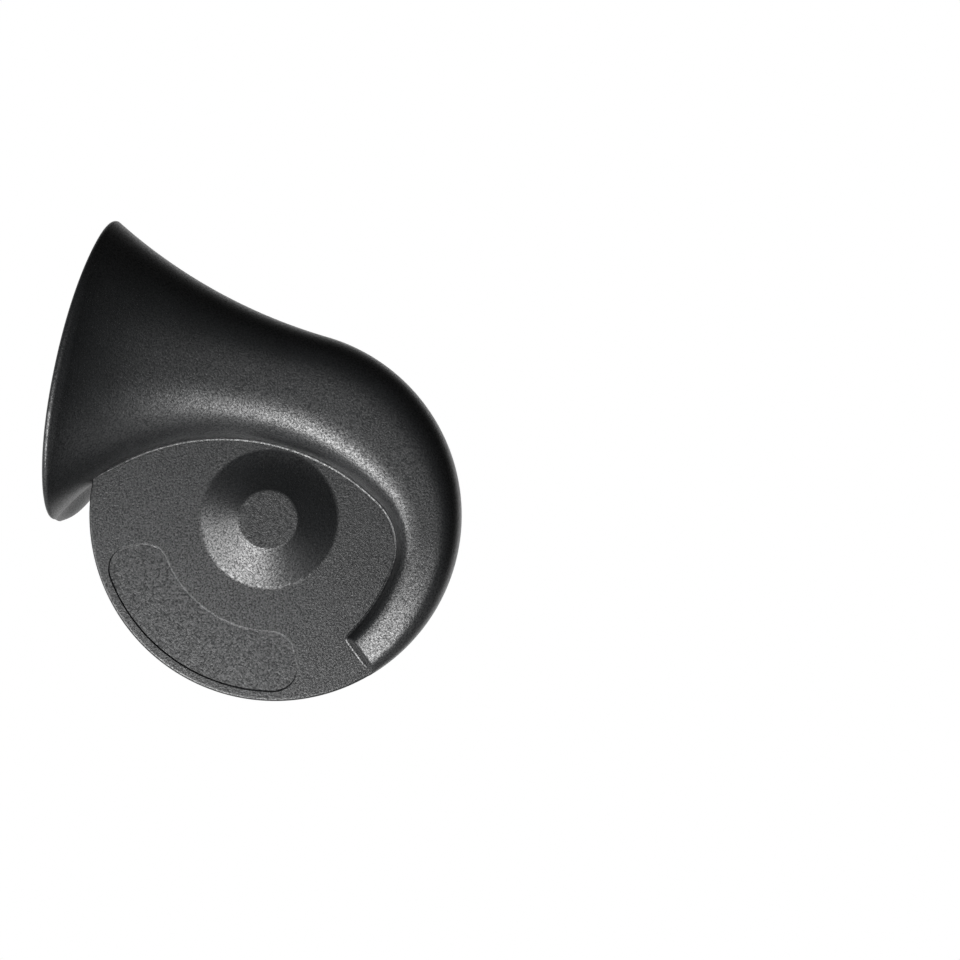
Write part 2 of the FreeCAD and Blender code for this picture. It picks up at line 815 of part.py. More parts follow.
# Driver's case: a pressed steel cup whose skirt is rolled over the seat.
steel = size("case_thickness")
case = turned("driver_case", [
    (seat_front - size("hook_thickness"), neck_radius + size("case_fit")),
    (seat_front, neck_radius + size("case_fit")),
    (seat_front, skirt_inner),
    (case_face, skirt_inner),
    (case_face, case_radius - steel),
    (shelf_face, case_radius - steel),
    (shelf_face, cup_radius - steel),
    (case_inside_back, cup_radius - steel),
    (case_inside_back, size("stud_radius") + size("stud_fit")),
    (case_back, size("stud_radius") + size("stud_fit")),
    (case_back, cup_radius),
    (shelf_back, cup_radius),
    (shelf_back, case_radius),
    (case_inside_front, case_radius),
    (case_inside_front, skirt_outer),
    (seat_front - size("hook_thickness"), skirt_outer),
])
rivet_x = size("contact_rivet_x")
rivet_z = size("contact_rivet_margin") - stack_outer
rivet_hole = size("contact_rivet_radius") + size("hole_fit")
adjuster_z = size("adjuster_margin") - stack_outer
adjuster_hole = size("adjuster_radius") + size("adjuster_clear")
slant = math.radians(num("base_angle"))
base_middle = (base_inner + base_outer) / 2
base_across = Size("cos(Sizes.base_angle * 1 deg)", math.cos(slant))
base_down = Size("sin(Sizes.base_angle * 1 deg)", math.sin(slant))
base_x = base_middle * base_across
base_z = -(base_middle * base_down)


def rivet_holes(sketch):
    draw_circle(sketch, rivet_x, rivet_z, rivet_hole)
    draw_circle(sketch, -rivet_x, rivet_z, rivet_hole)


def case_holes(sketch):
    rivet_holes(sketch)
    draw_circle(sketch, 0.0, adjuster_z, size("adjuster_radius") + size("hole_fit"))
    draw_circle(sketch, base_x, base_z, size("terminal_rivet_radius") + size("hole_fit"))


rounded(case, "case_corners", size("case_corner_radius"), [
    (case_back, cup_radius), (shelf_back, case_radius), (case_inside_front, skirt_outer)])
drilled(case, "case_holes", case_holes)
piece(case, "driver_case")

# Armature: riveted to the diaphragm's middle, with a collar that opens the
# contacts, and the washer on the diaphragm's other side.
washer_front = front_gasket_back - size("clamp_washer_thickness")
piece(turned("armature", [
    (washer_front - size("spigot_head_height"), 0.0),
    (washer_front - size("spigot_head_height"), size("spigot_head_radius")),
    (washer_front, size("spigot_head_radius")),
    (washer_front, size("spigot_radius")),
    (diaphragm_back, size("spigot_radius")),
    (diaphragm_back, size("clamp_washer_radius")),
    (diaphragm_back + size("armature_shoulder"), size("clamp_washer_radius")),
    (diaphragm_back + size("armature_shoulder"), size("armature_radius")),
    (collar_front, size("armature_radius")),
    (collar_front, size("collar_radius")),
    (collar_back, size("collar_radius")),
    (collar_back, size("armature_radius")),
    (armature_end, size("armature_radius")),
    (armature_end, 0.0),
]), "armature")
piece(turned("clamp_washer", [
    (washer_front, hole),
    (front_gasket_back, hole),
    (front_gasket_back, size("clamp_washer_radius")),
    (washer_front, size("clamp_washer_radius")),
]), "clamp_washer")

# Core with its stud, and the coil on its bobbin.
stud_end = case_back + size("stud_reach")
piece(turned("pole_core", [
    (core_face, 0.0),
    (core_face, size("core_radius")),
    (case_inside_back, size("core_radius")),
    (case_inside_back, size("stud_radius")),
    (stud_end - size("stud_chamfer"), size("stud_radius")),
    (stud_end, size("stud_radius") - size("stud_chamfer")),
    (stud_end, 0.0),
]), "pole_core")
flange = size("bobbin_wall")
piece(turned("coil_bobbin", [
    (bobbin_front, bobbin_bore),
    (case_inside_back, bobbin_bore),
    (case_inside_back, bobbin_radius),
    (case_inside_back - flange, bobbin_radius),
    (case_inside_back - flange, bobbin_hub),
    (bobbin_front + flange, bobbin_hub),
    (bobbin_front + flange, bobbin_radius),
    (bobbin_front, bobbin_radius),
]), "coil_bobbin")
piece(turned("coil_winding", [
    (bobbin_front + flange, bobbin_hub),
    (case_inside_back - flange, bobbin_hub),
    (case_inside_back - flange, winding_radius),
    (bobbin_front + flange, winding_radius),
]), "coil_winding")

# Contact breaker, riveted to the case's shelf below the armature.
wide = size("stack_half_width")
narrow = size("strip_half_width")
outer_end = -stack_outer
step = -stack_inner


def insulator_outline(sketch):
    draw_polygon(sketch, [(-wide, outer_end), (wide, outer_end), (wide, step), (-wide, step)])


def strip_outline(reach):
    def draw(sketch):
        draw_polygon(sketch, [
            (-wide, outer_end), (wide, outer_end), (wide, step), (narrow, step),
            (narrow, -reach), (-narrow, -reach), (-narrow, step), (-wide, step)])
    return draw


def pierced(sketch):
    rivet_holes(sketch)
    draw_circle(sketch, 0.0, adjuster_z, adjuster_hole)


stack = [
    ("rear_insulator", insulator_outline, arm_back, size("rear_insulator"), pierced),
    ("contact_arm", strip_outline(arm_reach), arm_face, size("arm_thickness"), pierced),
    ("front_insulator", insulator_outline, fixed_back, size("front_insulator"), pierced),
    ("fixed_contact_strip", strip_outline(fixed_reach), fixed_face,
     size("fixed_thickness"), rivet_holes),
]
for name, outline, front, thickness, holes in stack:
    leaf = padded(name, outline, front, thickness)
    drilled(leaf, name + "_holes", holes)
    piece(leaf, name)

contact_z = -contact_place
for name, front, back in (("fixed_contact_point", fixed_back, contact_plane),
                          ("moving_contact_point", contact_plane, arm_face)):
    piece(turned(name, [(front, 0.0), (front, size("contact_radius")),
                        (back, size("contact_radius")), (back, 0.0)]), name, z=contact_z)

head = size("contact_rivet_head_height")
for name, x in (("contact_rivet_left", -rivet_x), ("contact_rivet_right", rivet_x)):
    piece(turned(name, [
        (fixed_face - head, 0.0),
        (fixed_face - head, size("contact_rivet_head")),
        (fixed_face, size("contact_rivet_head")),
        (fixed_face, size("contact_rivet_radius")),
        (shelf_back, size("contact_rivet_radius")),
        (shelf_back, size("contact_rivet_head")),
        (shelf_back + head, size("contact_rivet_head")),
        (shelf_back + head, 0.0),
    ]), name, x=x, z=rivet_z)

# Adjusting screw with its slot, and the nut that locks it.
adjuster_end = shelf_back + size("adjuster_reach")
screw = turned("adjusting_screw", [
    (fixed_back, 0.0),
    (fixed_back, size("adjuster_radius")),
    (adjuster_end, size("adjuster_radius")),
    (adjuster_end, 0.0),
])
slot_sketch = new_sketch(screw, "screw_slot_outline", "YZ_Plane")
slot_half = size("adjuster_slot") / 2
draw_polygon(slot_sketch, [
    (adjuster_end - size("adjuster_radius") / 2, -slot_half),
    (adjuster_end + 1, -slot_half),
    (adjuster_end + 1, slot_half),
    (adjuster_end - size("adjuster_radius") / 2, slot_half),
])
slot = screw.newObject("PartDesign::Pocket", "screw_slot")
slot.Profile = slot_sketch
slot.Type = "ThroughAll"
slot.Midplane = True
piece(screw, "adjusting_screw", z=adjuster_z)


def nut(name, flats, front, height, bore):
    """A hexagon nut whose corners are turned off at 30 degrees at both ends."""
    body = padded(name, lambda sketch: draw_hexagon(sketch, flats), front, height)
    drilled(body, name + "_bore", lambda sketch: draw_circle(sketch, 0.0, 0.0, bore))
    before = body.Shape.Volume
    depth = size("nut_chamfer") * (flats / num("nut_flats"))
    start = flats / 2
    end = start + depth / math.tan(math.radians(30))
    back = front + height
    sketch = new_sketch(body, name + "_chamfers", "YZ_Plane")
    draw_polygon(sketch, [(front, start), (front + depth, end), (front, end)])
    draw_polygon(sketch, [(back, start), (back, end), (back - depth, end)])
    groove = body.newObject("PartDesign::Groove", name + "_turned")
    groove.Profile = sketch
    groove.ReferenceAxis = (sketch, ["H_Axis"])
    groove.Angle = 360
    doc.recompute()
    if not body.Shape.Volume < before - 1e-6:
        raise RuntimeError(name + " keeps its corners")
    return body


piece(nut("adjuster_locknut", size("locknut_flats"), shelf_back, size("locknut_height"),
          size("adjuster_radius") + size("nut_fit")), "adjuster_locknut", z=adjuster_z)

# Terminals: two blades in an insulating block on the back of the shelf.  The
# block is drawn with its width along X and its radial depth along Z, and then
# turned about Y to the slant at which it stands.
half_width = size("base_width") / 2
half_depth = (base_outer - base_inner) / 2
blade_half = size("blade_width") / 2
blade_thin = size("blade_thickness") / 2
blade_x = size("blade_spacing") / 2
play = size("blade_fit")
blade_front = base_back - size("blade_seat")
slant_turn = Rotation(Vector(0, 1, 0), num("base_angle") - 90)


def rectangle(sketch, x, half_x, half_z):
    draw_polygon(sketch, [(x - half_x, -half_z), (x + half_x, -half_z),
                          (x + half_x, half_z), (x - half_x, half_z)])


def standing(body, label):
    body.Placement = Placement(Vector(0, 0, 0), slant_turn)
    piece(body, label, x=base_x, z=base_z)


block = padded("terminal_base", lambda sketch: rectangle(
    sketch, as_size(0.0), half_width, half_depth), shelf_back, size("base_height"))
drilled(block, "terminal_base_bore", lambda sketch: draw_circle(
    sketch, 0.0, 0.0, size("terminal_rivet_radius") + size("hole_fit")))
before = block.Shape.Volume
seat_sketch = new_sketch(block, "blade_seats_outline", "XZ_Plane", -base_back)
for x in (-blade_x, blade_x):
    rectangle(seat_sketch, x, blade_thin + play, blade_half + play)
seats = block.newObject("PartDesign::Pocket", "blade_seats")
seats.Profile = seat_sketch
bind(seats, "Length", size("blade_seat"))
doc.recompute()
if not block.Shape.Volume < before - 1e-6:
    seats.Reversed = True
    doc.recompute()
if not block.Shape.Volume < before - 1e-6:
    raise RuntimeError("the blade seats cut nothing")
standing(block, "terminal_base")
blade_end = base_back + size("blade_length")
corner = size("blade_corner")
for name, x in (("terminal_blade_left", -blade_x), ("terminal_blade_right", blade_x)):
    blade = new_body(name)
    blade_sketch = new_sketch(blade, name + "_outline", "YZ_Plane", x)
    draw_polygon(blade_sketch, [
        (blade_front, -blade_half),
        (blade_end - corner, -blade_half),
        (blade_end, corner - blade_half),
        (blade_end, blade_half - corner),
        (blade_end - corner, blade_half),
        (blade_front, blade_half),
    ])
    draw_circle(blade_sketch, blade_end - size("blade_length") / 2, 0.0,
                size("blade_hole_radius"))
    blade_pad = blade.newObject("PartDesign::Pad", name + "_pad")
    blade_pad.Profile = blade_sketch
    blade_pad.Midplane = True
    bind(blade_pad, "Length", size("blade_thickness"))
    doc.recompute()
    standing(blade, name)
head = size("terminal_rivet_head_height")
piece(turned("terminal_rivet", [
    (shelf_face - head, 0.0),
    (shelf_face - head, size("terminal_rivet_head")),
    (shelf_face, size("terminal_rivet_head")),
    (shelf_face, size("terminal_rivet_radius")),
    (base_back, size("terminal_rivet_radius")),
    (base_back, size("terminal_rivet_head")),
    (base_back + head, size("terminal_rivet_head")),
    (base_back + head, 0.0),
]), "terminal_rivet", x=base_x, z=base_z)

# Mounting bracket: a joggled steel strip with a hole at each round end.
strip = size("bracket_thickness")
bend_low = size("bracket_bend_start")
bend_high = bend_low + size("bracket_offset")
strip_low = -size("bracket_half_width")
strip_high = size("bracket_pitch") + size("bracket_half_width")
# the joggle runs at 45 degrees, so its two faces are this far out of step
skew = strip * math.tan(math.radians(22.5))
bracket = new_body("mounting_bracket")
bracket_sketch = new_sketch(bracket, "bracket_side", "YZ_Plane")
draw_polygon(bracket_sketch, [
    (bracket_front, strip_low - 1),
    (bracket_back, strip_low - 1),
    (bracket_back, bend_low),
    (mount_face, bend_high),
    (mount_face, strip_high + 1),
    (mount_face - strip, strip_high + 1),
    (mount_face - strip, bend_high + skew),
    (bracket_front, bend_low + skew),
])
bracket_pad = bracket.newObject("PartDesign::Pad", "bracket_pad")
bracket_pad.Profile = bracket_sketch
bracket_pad.Midplane = True
bind(bracket_pad, "Length", size("bracket_half_width") * 2 + 2)
doc.recompute()


def bracket_trim(sketch):
    """Everything outside the strip's round-ended outline."""
    far = size("bracket_pitch") * 2
    draw_polygon(sketch, [(-far, -far), (far, -far), (far, far), (-far, far)])
    radius = size("bracket_half_width")
    high = size("bracket_pitch")
    first = sketch.GeometryCount
    top, side = num("bracket_pitch"), num("bracket_half_width")
    sketch.addGeometry([
        Part.LineSegment(Vector(side, 0, 0), Vector(side, top, 0)),
        Part.ArcOfCircle(Part.Circle(Vector(0, top, 0), Vector(0, 0, 1), side), 0, math.pi),
        Part.LineSegment(Vector(-side, top, 0), Vector(-side, 0, 0)),
        Part.ArcOfCircle(Part.Circle(Vector(0, 0, 0), Vector(0, 0, 1), side),
                         math.pi, 2 * math.pi),
    ], False)
    for i in range(4):
        sketch.addConstraint(Sketcher.Constraint(
            "Coincident", first + i, 2, first + (i + 1) % 4, 1))
    fix_point(sketch, first, 1, radius, 0.0)
    fix_point(sketch, first, 2, radius, high)
    fix_point(sketch, first + 2, 1, -radius, high)
    fix_point(sketch, first + 2, 2, -radius, 0.0)
    for i, centre in ((1, high), (3, as_size(0.0))):
        rule = sketch.addConstraint(Sketcher.Constraint(
            "DistanceY", -1, 1, first + i, 3, centre.number))
        sketch.renameConstraint(rule, "end_centre_%d" % i)
        bind(sketch, "Constraints.end_centre_%d" % i, centre)


drilled(bracket, "bracket_trim", bracket_trim)


def bracket_holes(sketch):
    draw_circle(sketch, 0.0, 0.0, size("bracket_hole_radius"))
    draw_circle(sketch, 0.0, size("bracket_pitch"), size("bracket_hole_radius"))


drilled(bracket, "bracket_holes", bracket_holes)
piece(bracket, "mounting_bracket")

# Split spring washer and nut on the stud.
washer = turned("spring_washer", [
    (bracket_back, size("washer_inner_radius")),
    (washer_back, size("washer_inner_radius")),
    (washer_back, size("washer_outer_radius")),
    (bracket_back, size("washer_outer_radius")),
], as_size(360.0) - size("washer_split_angle"))
piece(washer, "spring_washer")
piece(nut("mounting_nut", size("nut_flats"), washer_back, size("nut_height"),
          size("stud_radius") + size("nut_fit")), "mounting_nut")

doc.recompute()
for obj in doc.Objects:
    if "Invalid" in obj.State or "Error" in obj.State:
        raise RuntimeError("%s failed: %s" % (obj.Name, obj.State))
for obj in PIECES:
    shape = obj.Shape
    if shape.isNull() or not shape.isValid() or len(shape.Solids) != 1:
        raise RuntimeError("%s is not one valid solid" % obj.Label)

os.makedirs("parts", exist_ok=True)
for obj in PIECES:
    obj.Shape.exportStep("parts/%s.step" % obj.Label)
    box = obj.Shape.BoundBox
    print("%-24s %9.1f mm3  x %6.2f..%6.2f  y %6.2f..%6.2f  z %6.2f..%6.2f" % (
        obj.Label, obj.Shape.Volume, box.XMin, box.XMax, box.YMin, box.YMax,
        box.ZMin, box.ZMax))
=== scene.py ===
"""Car horn: a round driver behind a moulded spiral trumpet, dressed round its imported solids."""

import math
from functools import partial

import bmesh
import bpy
import numpy as np
from bpy.props import FloatProperty, FloatVectorProperty, PointerProperty
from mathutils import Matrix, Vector
from mathutils.geometry import delaunay_2d_cdt


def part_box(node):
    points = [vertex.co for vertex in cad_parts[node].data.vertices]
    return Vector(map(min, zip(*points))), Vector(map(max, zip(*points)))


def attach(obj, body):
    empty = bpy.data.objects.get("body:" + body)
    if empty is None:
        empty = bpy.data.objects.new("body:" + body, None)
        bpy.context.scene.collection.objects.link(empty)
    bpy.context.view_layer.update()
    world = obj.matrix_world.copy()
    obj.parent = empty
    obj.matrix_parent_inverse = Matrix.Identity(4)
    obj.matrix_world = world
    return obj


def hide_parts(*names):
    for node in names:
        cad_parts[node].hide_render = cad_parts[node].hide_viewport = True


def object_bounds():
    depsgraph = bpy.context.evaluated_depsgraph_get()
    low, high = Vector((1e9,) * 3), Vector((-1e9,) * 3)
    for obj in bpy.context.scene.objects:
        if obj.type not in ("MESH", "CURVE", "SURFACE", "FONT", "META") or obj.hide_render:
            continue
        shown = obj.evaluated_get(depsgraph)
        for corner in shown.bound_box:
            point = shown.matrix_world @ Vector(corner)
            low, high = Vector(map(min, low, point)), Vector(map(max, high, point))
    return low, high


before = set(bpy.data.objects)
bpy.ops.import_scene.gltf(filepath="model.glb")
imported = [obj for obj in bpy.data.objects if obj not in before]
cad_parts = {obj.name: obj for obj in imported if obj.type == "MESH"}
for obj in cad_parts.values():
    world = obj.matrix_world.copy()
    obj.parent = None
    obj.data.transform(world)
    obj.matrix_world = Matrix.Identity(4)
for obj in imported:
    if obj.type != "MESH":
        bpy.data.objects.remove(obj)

bl_info = {
    "name": "Car Horn",
    "version": (1, 0, 0),
    "blender": (4, 5, 0),
    "location": "3D View > Sidebar > Horn",
    "description": "Builds the moulded trumpet, the driver and the fixings of a car horn",
    "category": "Add Mesh",
}

CAD_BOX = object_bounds()
MM = 0.001

# The driver's own axes: y runs along its axis and is 0 where the two mouldings meet.
case_low, case_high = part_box("driver_case")
DRIVER = np.array([(case_low.x + case_high.x) / 2,
                   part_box("trumpet_front_shell")[1].y,
                   (case_low.z + case_high.z) / 2])


def linear(code):
    """An sRGB hex colour as linear RGBA: (c + 0.055) / 1.055 to the power 2.4 above 0.04045."""
    srgb = np.array([int(code[i:i + 2], 16) for i in (0, 2, 4)]) / 255
    shade = np.where(srgb <= 0.04045, srgb / 12.92, ((srgb + 0.055) / 1.055) ** 2.4)
    return (*shade.tolist(), 1.0)


def length(name, text, default):
    """A property for a length in metres."""
    return FloatProperty(name=name, description=text, default=default, min=0.0,
                         unit="LENGTH", subtype="DISTANCE", precision=5)


def colour(name, text, code):
    """A property for a colour, from its sRGB hex code."""
    return FloatVectorProperty(name=name, description=text, default=linear(code), size=4,
                               min=0.0, max=1.0, subtype="COLOR")


def power(name, text, default):
    """A property for a lamp's power in watts."""
    return FloatProperty(name=name, description=text, default=default, min=0.0, unit="POWER")


class HornSizes(bpy.types.PropertyGroup):
    """Sizes of the horn's dressed pieces, in metres."""

    disc_radius: length("Disc radius", "Outer radius of the trumpet's round front", 0.0440)
    disc_depth: length("Disc depth", "From the seam to the disc's face", 0.0080)
    rim_round: length("Rim rounding", "Radius along the disc's rim", 0.0006)
    boss_base: length("Boss base", "Radius at the foot of the raised boss", 0.0162)
    boss_top: length("Boss top", "Radius of the boss's flat top", 0.0070)
    boss_height: length("Boss height", "How far the boss stands out of the disc", 0.0040)
    pad_width: length("Pad width", "Radial width of the recessed pad", 0.0141)
    pad_recess: length("Pad recess", "How deep the pad lies in the disc", 0.0003)
    wall: length("Shell wall", "Thickness of the moulded walls", 0.0022)
    seam_groove: length("Seam groove", "Depth of the fine groove along the weld seam", 0.0002)
    foot_fillet: length("Foot fillet", "Radius where the ridge meets the disc", 0.0007)
    tail_round: length("Tail rounding", "Radius round the ridge's square end", 0.0006)
    corner: length("Pressed corner", "Radius of the case's pressed corners", 0.0009)
    edge: length("Sheared edge", "Rounding of the bracket's sheared edges", 0.0003)
    thread_pitch: length("Thread pitch", "Pitch of the stud's thread", 0.00125)


class HornColours(bpy.types.PropertyGroup):
    """Base colours of the horn's materials."""

    plastic: colour("Moulded plastic", "Black moulded trumpet", "161718")
    enamel: colour("Case enamel", "Black enamel on the driver's case", "18191B")
    zinc: colour("Zinc plate", "Bracket, nut, stud and armature", "B9BDC0")
    spring: colour("Spring steel", "Washer and contact arm", "7C7F84")
    brass: colour("Brass", "Terminal blades and rivets", "C9A25A")
    laminate: colour("Laminate", "Terminal block and insulators", "3A2218")
    fibre: colour("Gasket fibre", "Diaphragm gaskets", "8E8272")
    nylon: colour("Nylon", "Coil bobbin", "DAD6C9")
    copper: colour("Winding wire", "Enamelled coil wire", "9A4A24")
    tungsten: colour("Contact metal", "Contact points", "A6A8AB")


class HornStage(bpy.types.PropertyGroup):
    """Floor, light and view."""

    floor_drop: length("Floor drop", "From the horn's lowest point to the floor", 0.40)
    floor_radius: length("Floor radius", "Radius of the round floor", 0.90)
    key_power: power("Key light", "Soft light from low in front", 2.6)
    side_power: power("Side light", "Soft light from the mouth's side", 1.35)
    front_power: power("Front light", "Soft light under the camera", 0.85)
    fill_power: power("Fill light", "Wide light behind the camera", 0.3)
    focal: FloatProperty(name="Focal length", description="Camera lens", default=126.8,
                         min=1.0, unit="CAMERA")


# Surfaces

class Form:
    """Surface patches in the driver's own axes, gathered and welded into one closed mesh."""

    def __init__(self):
        self.points = []
        self.faces = []
        self.count = 0

    def grid(self, points, wrap=False):
        """Quads over an array of rows by columns; wrap joins the last column to the first."""
        rows, columns = points.shape[:2]
        index = np.arange(rows * columns).reshape(rows, columns) + self.count
        if wrap:
            index = np.hstack([index, index[:, :1]])
        quads = np.stack([index[:-1, :-1], index[:-1, 1:], index[1:, 1:], index[1:, :-1]], -1)
        self.points.append(points.reshape(-1, 3))
        self.faces += quads.reshape(-1, 4).tolist()
        self.count += rows * columns

    def cap(self, rim):
        """Closes a rim of points with triangles that meet in its middle."""
        self.grid(np.stack([np.repeat(rim.mean(0)[None], len(rim), 0), rim]), wrap=True)

    def flat(self, loops, lift, ties=()):
        """Fills flat outlines, the first less the rest, by a constrained Delaunay net.

        lift turns the net's two coordinates into points in space, and ties are pairs
        of outline points that the net must join.
        """
        starts = np.cumsum([0] + [len(loop) for loop in loops])
        edges = [np.stack([np.arange(len(loop)), np.roll(np.arange(len(loop)), -1)], -1) + start
                 for loop, start in zip(loops, starts)]
        pairs = np.vstack(edges + ([np.asarray(ties)] if len(ties) else []))
        scaled = (np.vstack(loops) / MM).tolist()
        net = delaunay_2d_cdt(scaled, pairs.tolist(), [], 1, 1e-5)
        flat = np.array(net[0]) * MM
        triangles = np.array(net[2])
        middles = flat[triangles].mean(1)
        kept = within(middles, loops[0])
        for hole in loops[1:]:
            kept &= ~within(middles, hole)
        self.points.append(lift(flat))
        self.faces += (triangles[kept] + self.count).tolist()
        self.count += len(flat)

    def piece(self, name, sharp=None):
        """The welded mesh in the frame, its faces outwards; edges over sharp degrees stay crisp."""
        mesh = bpy.data.meshes.new(name)
        mesh.from_pydata((np.vstack(self.points) + DRIVER).tolist(), [], self.faces)
        work = bmesh.new()
        work.from_mesh(mesh)
        bmesh.ops.remove_doubles(work, verts=work.verts, dist=2e-6)
        bmesh.ops.dissolve_degenerate(work, dist=1e-6, edges=work.edges)
        bmesh.ops.recalc_face_normals(work, faces=work.faces)
        work.to_mesh(mesh)
        work.free()
        mesh.polygons.foreach_set("use_smooth", [True] * len(mesh.polygons))
        if sharp:
            mesh.set_sharp_from_angle(angle=math.radians(sharp))
        thing = bpy.data.objects.new(name, mesh)
        bpy.context.scene.collection.objects.link(thing)
        return thing


def within(points, loop):
    """Whether points lie in an outline: a ray along x from each crosses it an odd number of times."""
    start, stop = loop, np.roll(loop, -1, 0)
    x, z = points[:, :1], points[:, 1:]
    spans = (start[:, 1] > z) != (stop[:, 1] > z)
    rise = np.where(start[:, 1] == stop[:, 1], 1.0, stop[:, 1] - start[:, 1])
    cross = start[:, 0] + (z - start[:, 1]) * (stop[:, 0] - start[:, 0]) / rise
    return (spans & (x < cross)).sum(1) % 2 == 1


def unit(vectors):
    """Vectors scaled to length one."""
    return vectors / np.linalg.norm(vectors, axis=-1, keepdims=True)


def aside(vectors):
    """Flat vectors (x, z) turned a quarter turn clockwise."""
    return np.stack([vectors[..., 1], -vectors[..., 0]], -1)


def rays(angle):
    """Unit vectors (x, z) at angles from the x axis."""
    return np.stack([np.cos(angle), np.sin(angle)], -1)


def bow(t, start, corner, stop):
    """Quadratic arc: (1 - t)^2 start + 2 t (1 - t) corner + t^2 stop."""
    return (1 - t) ** 2 * start + 2 * t * (1 - t) * corner + t ** 2 * stop


def at_depth(flat, y):
    """Flat points (x, z) as points in space at depths y."""
    return np.stack(np.broadcast_arrays(flat[..., 0], y, flat[..., 1]), -1)


def level(y):
    """Puts flat (x, z) outlines at the depth y."""
    return lambda flat: at_depth(flat, y)


def offset(loop, distance, least=0.35):
    """A closed anticlockwise outline moved outwards by a distance, mitred at its corners.

    Each point moves along the sum of its two edges' normals over one plus their product,
    which is held over the least, so that a sharp corner doesn't run far out.
    """
    normal = aside(unit(np.roll(loop, -1, 0) - loop))
    before = np.roll(normal, 1, 0)
    share = 1 + (normal * before).sum(1, keepdims=True)
    return loop + distance * (normal + before) / np.maximum(share, least)


def rings(loop, profile, limit=None, ease=1.0):
    """A profile of (outward offset, depth) pairs carried round a closed outline.

    limit holds the greatest depth at each point, and ease the share of the offset.
    """
    rows = []
    for out, y in profile:
        moved = loop + (offset(loop, out) - loop) * ease
        rows.append(at_depth(moved, y if limit is None else np.minimum(y, limit)))
    return np.stack(rows)


def quarter(steps=5):
    """Sines and versines of the angles of a quarter turn, for rounded edges."""
    angle = np.linspace(0, np.pi / 2, steps)
    return np.sin(angle), 1 - np.cos(angle)


def softened(corners, steps=5):
    """A profile through corners (across, along, radius), each rounded by a quadratic arc."""
    path = []
    total = len(corners)
    for i, (x, y, radius) in enumerate(corners):
        here = np.array([x, y])
        if radius <= 0:
            path.append(here[None])
            continue
        before = np.array(corners[i - 1][:2]) - here
        after = np.array(corners[(i + 1) % total][:2]) - here
        t = np.linspace(0, 1, steps)[:, None]
        path.append(bow(t, here + unit(before) * radius, here, here + unit(after) * radius))
    return np.vstack(path)


def lathe(profile, centre=(0.0, 0.0), steps=192):
    """A profile of (radius, depth) pairs turned about an axis along y through centre."""
    angle = np.linspace(0, 2 * np.pi, steps, endpoint=False)
    return at_depth(profile[:, 0, None, None] * rays(angle) + centre, profile[:, 1, None])


def circle(radius, centre=(0.0, 0.0), steps=96):
    """Anticlockwise outline of a circle."""
    angle = np.linspace(0, 2 * np.pi, steps, endpoint=False)
    return radius * rays(angle) + centre


def rounded_box(width, height, corner, centre=(0.0, 0.0), steps=6):
    """Anticlockwise outline of a rectangle with quarter-round corners."""
    arc = corner * rays(np.linspace(0, np.pi / 2, steps))
    x, z = width / 2 - corner, height / 2 - corner
    return np.vstack([arc + (x, z), -aside(arc) + (-x, z), -arc + (-x, -z),
                      aside(arc) + (x, -z)]) + centre


def plate(form, outer, holes, low, high, radius, place, ties=()):
    """A flat blank between two depths, its edges rounded, bent or turned by place.

    Every outline carries the same profile: in by the radius on the low face, round a
    quarter turn, up the side, round again and in on the high face.
    """
    s, c = quarter()
    inward = np.concatenate([[2 * radius], radius * (1 - s), radius * c, [2 * radius]])
    depth = np.concatenate([[low], low + radius * c, high - radius * (1 - s), [high]])
    bottom, top = [], []
    for loop, sign in [(outer, -1)] + [(hole, 1) for hole in holes]:
        wall = rings(loop, list(zip(sign * inward, depth)))
        form.grid(place(wall), wrap=True)
        bottom.append(wall[0][:, [0, 2]])
        top.append(wall[-1][:, [0, 2]])
    for loops, y in ((bottom, low), (top, high)):
        form.flat(loops, lambda flat, y=y: place(level(y)(flat)), ties)


# The trumpet's duct

# The spiral in the plane of the disc, as the solids have it; an arc is a radius and degrees
DISC = np.array([1.4, 0.95]) * MM
RIDGE_START = math.radians(301.5)
OUTER_ARCS = ((44.1 * MM, 132.3), (129.5 * MM, -26.0))
INNER_START = np.array([18.26, -28.19]) * MM
INNER_HEADING = math.radians(42.55)
INNER_ARCS = ((41.9 * MM, 27.6), (14.8 * MM, 65.5), (52.4 * MM, 97.0))
MOUTH_BOW = 230.0 * MM

# Depths of the duct's halves from the seam, and of the rear half's round plate
TAIL_DEPTH = 12.5 * MM
RIDGE_DEPTH = 17 * MM
BELL_DEPTH = 31 * MM
REAR_DEPTH = 33 * MM
PLATE = 2.5 * MM

# Shares of the run: where the crown's climb ends, where the rear half and its bulge begin
CLIMB_END = 0.22
REAR_START = 0.3
BULGE_START = 0.85
BULGE = 0.48
FAN = 0.8

# The rear half's skins begin at these shares, and near the mouth they pass into the free duct
REAR_OUTSIDE = 0.31
REAR_INSIDE = 0.56
FREE_FROM = 0.86

# Exponents of the sections at the tail and the bell, and the tail's lean over the disc
TAIL_POWER = 4.6
BELL_POWER = 2.3
TAIL_LEAN = 0.26
LEAN_FROM = 8 * MM

# Height over the seam of the second column of points
SEAM_STEP = 0.2 * MM

# The pad's middle and half its length in degrees round the disc, its border and its corners
PAD_MIDDLE = 235
PAD_REACH = 43
PAD_BORDER = 2.3 * MM
PAD_CORNER = 5.5 * MM

# Room round the driver, outside its wall in the bell, and the throat in the plate
ROOM_DEPTHS = (10.8 * MM, 30.0 * MM)
ROOM_RADII = (41.0 * MM, 25.7 * MM)
ROOM_WALL = 2.5 * MM
ROOM_ROUND = 0.5 * MM
THROAT = 12 * MM


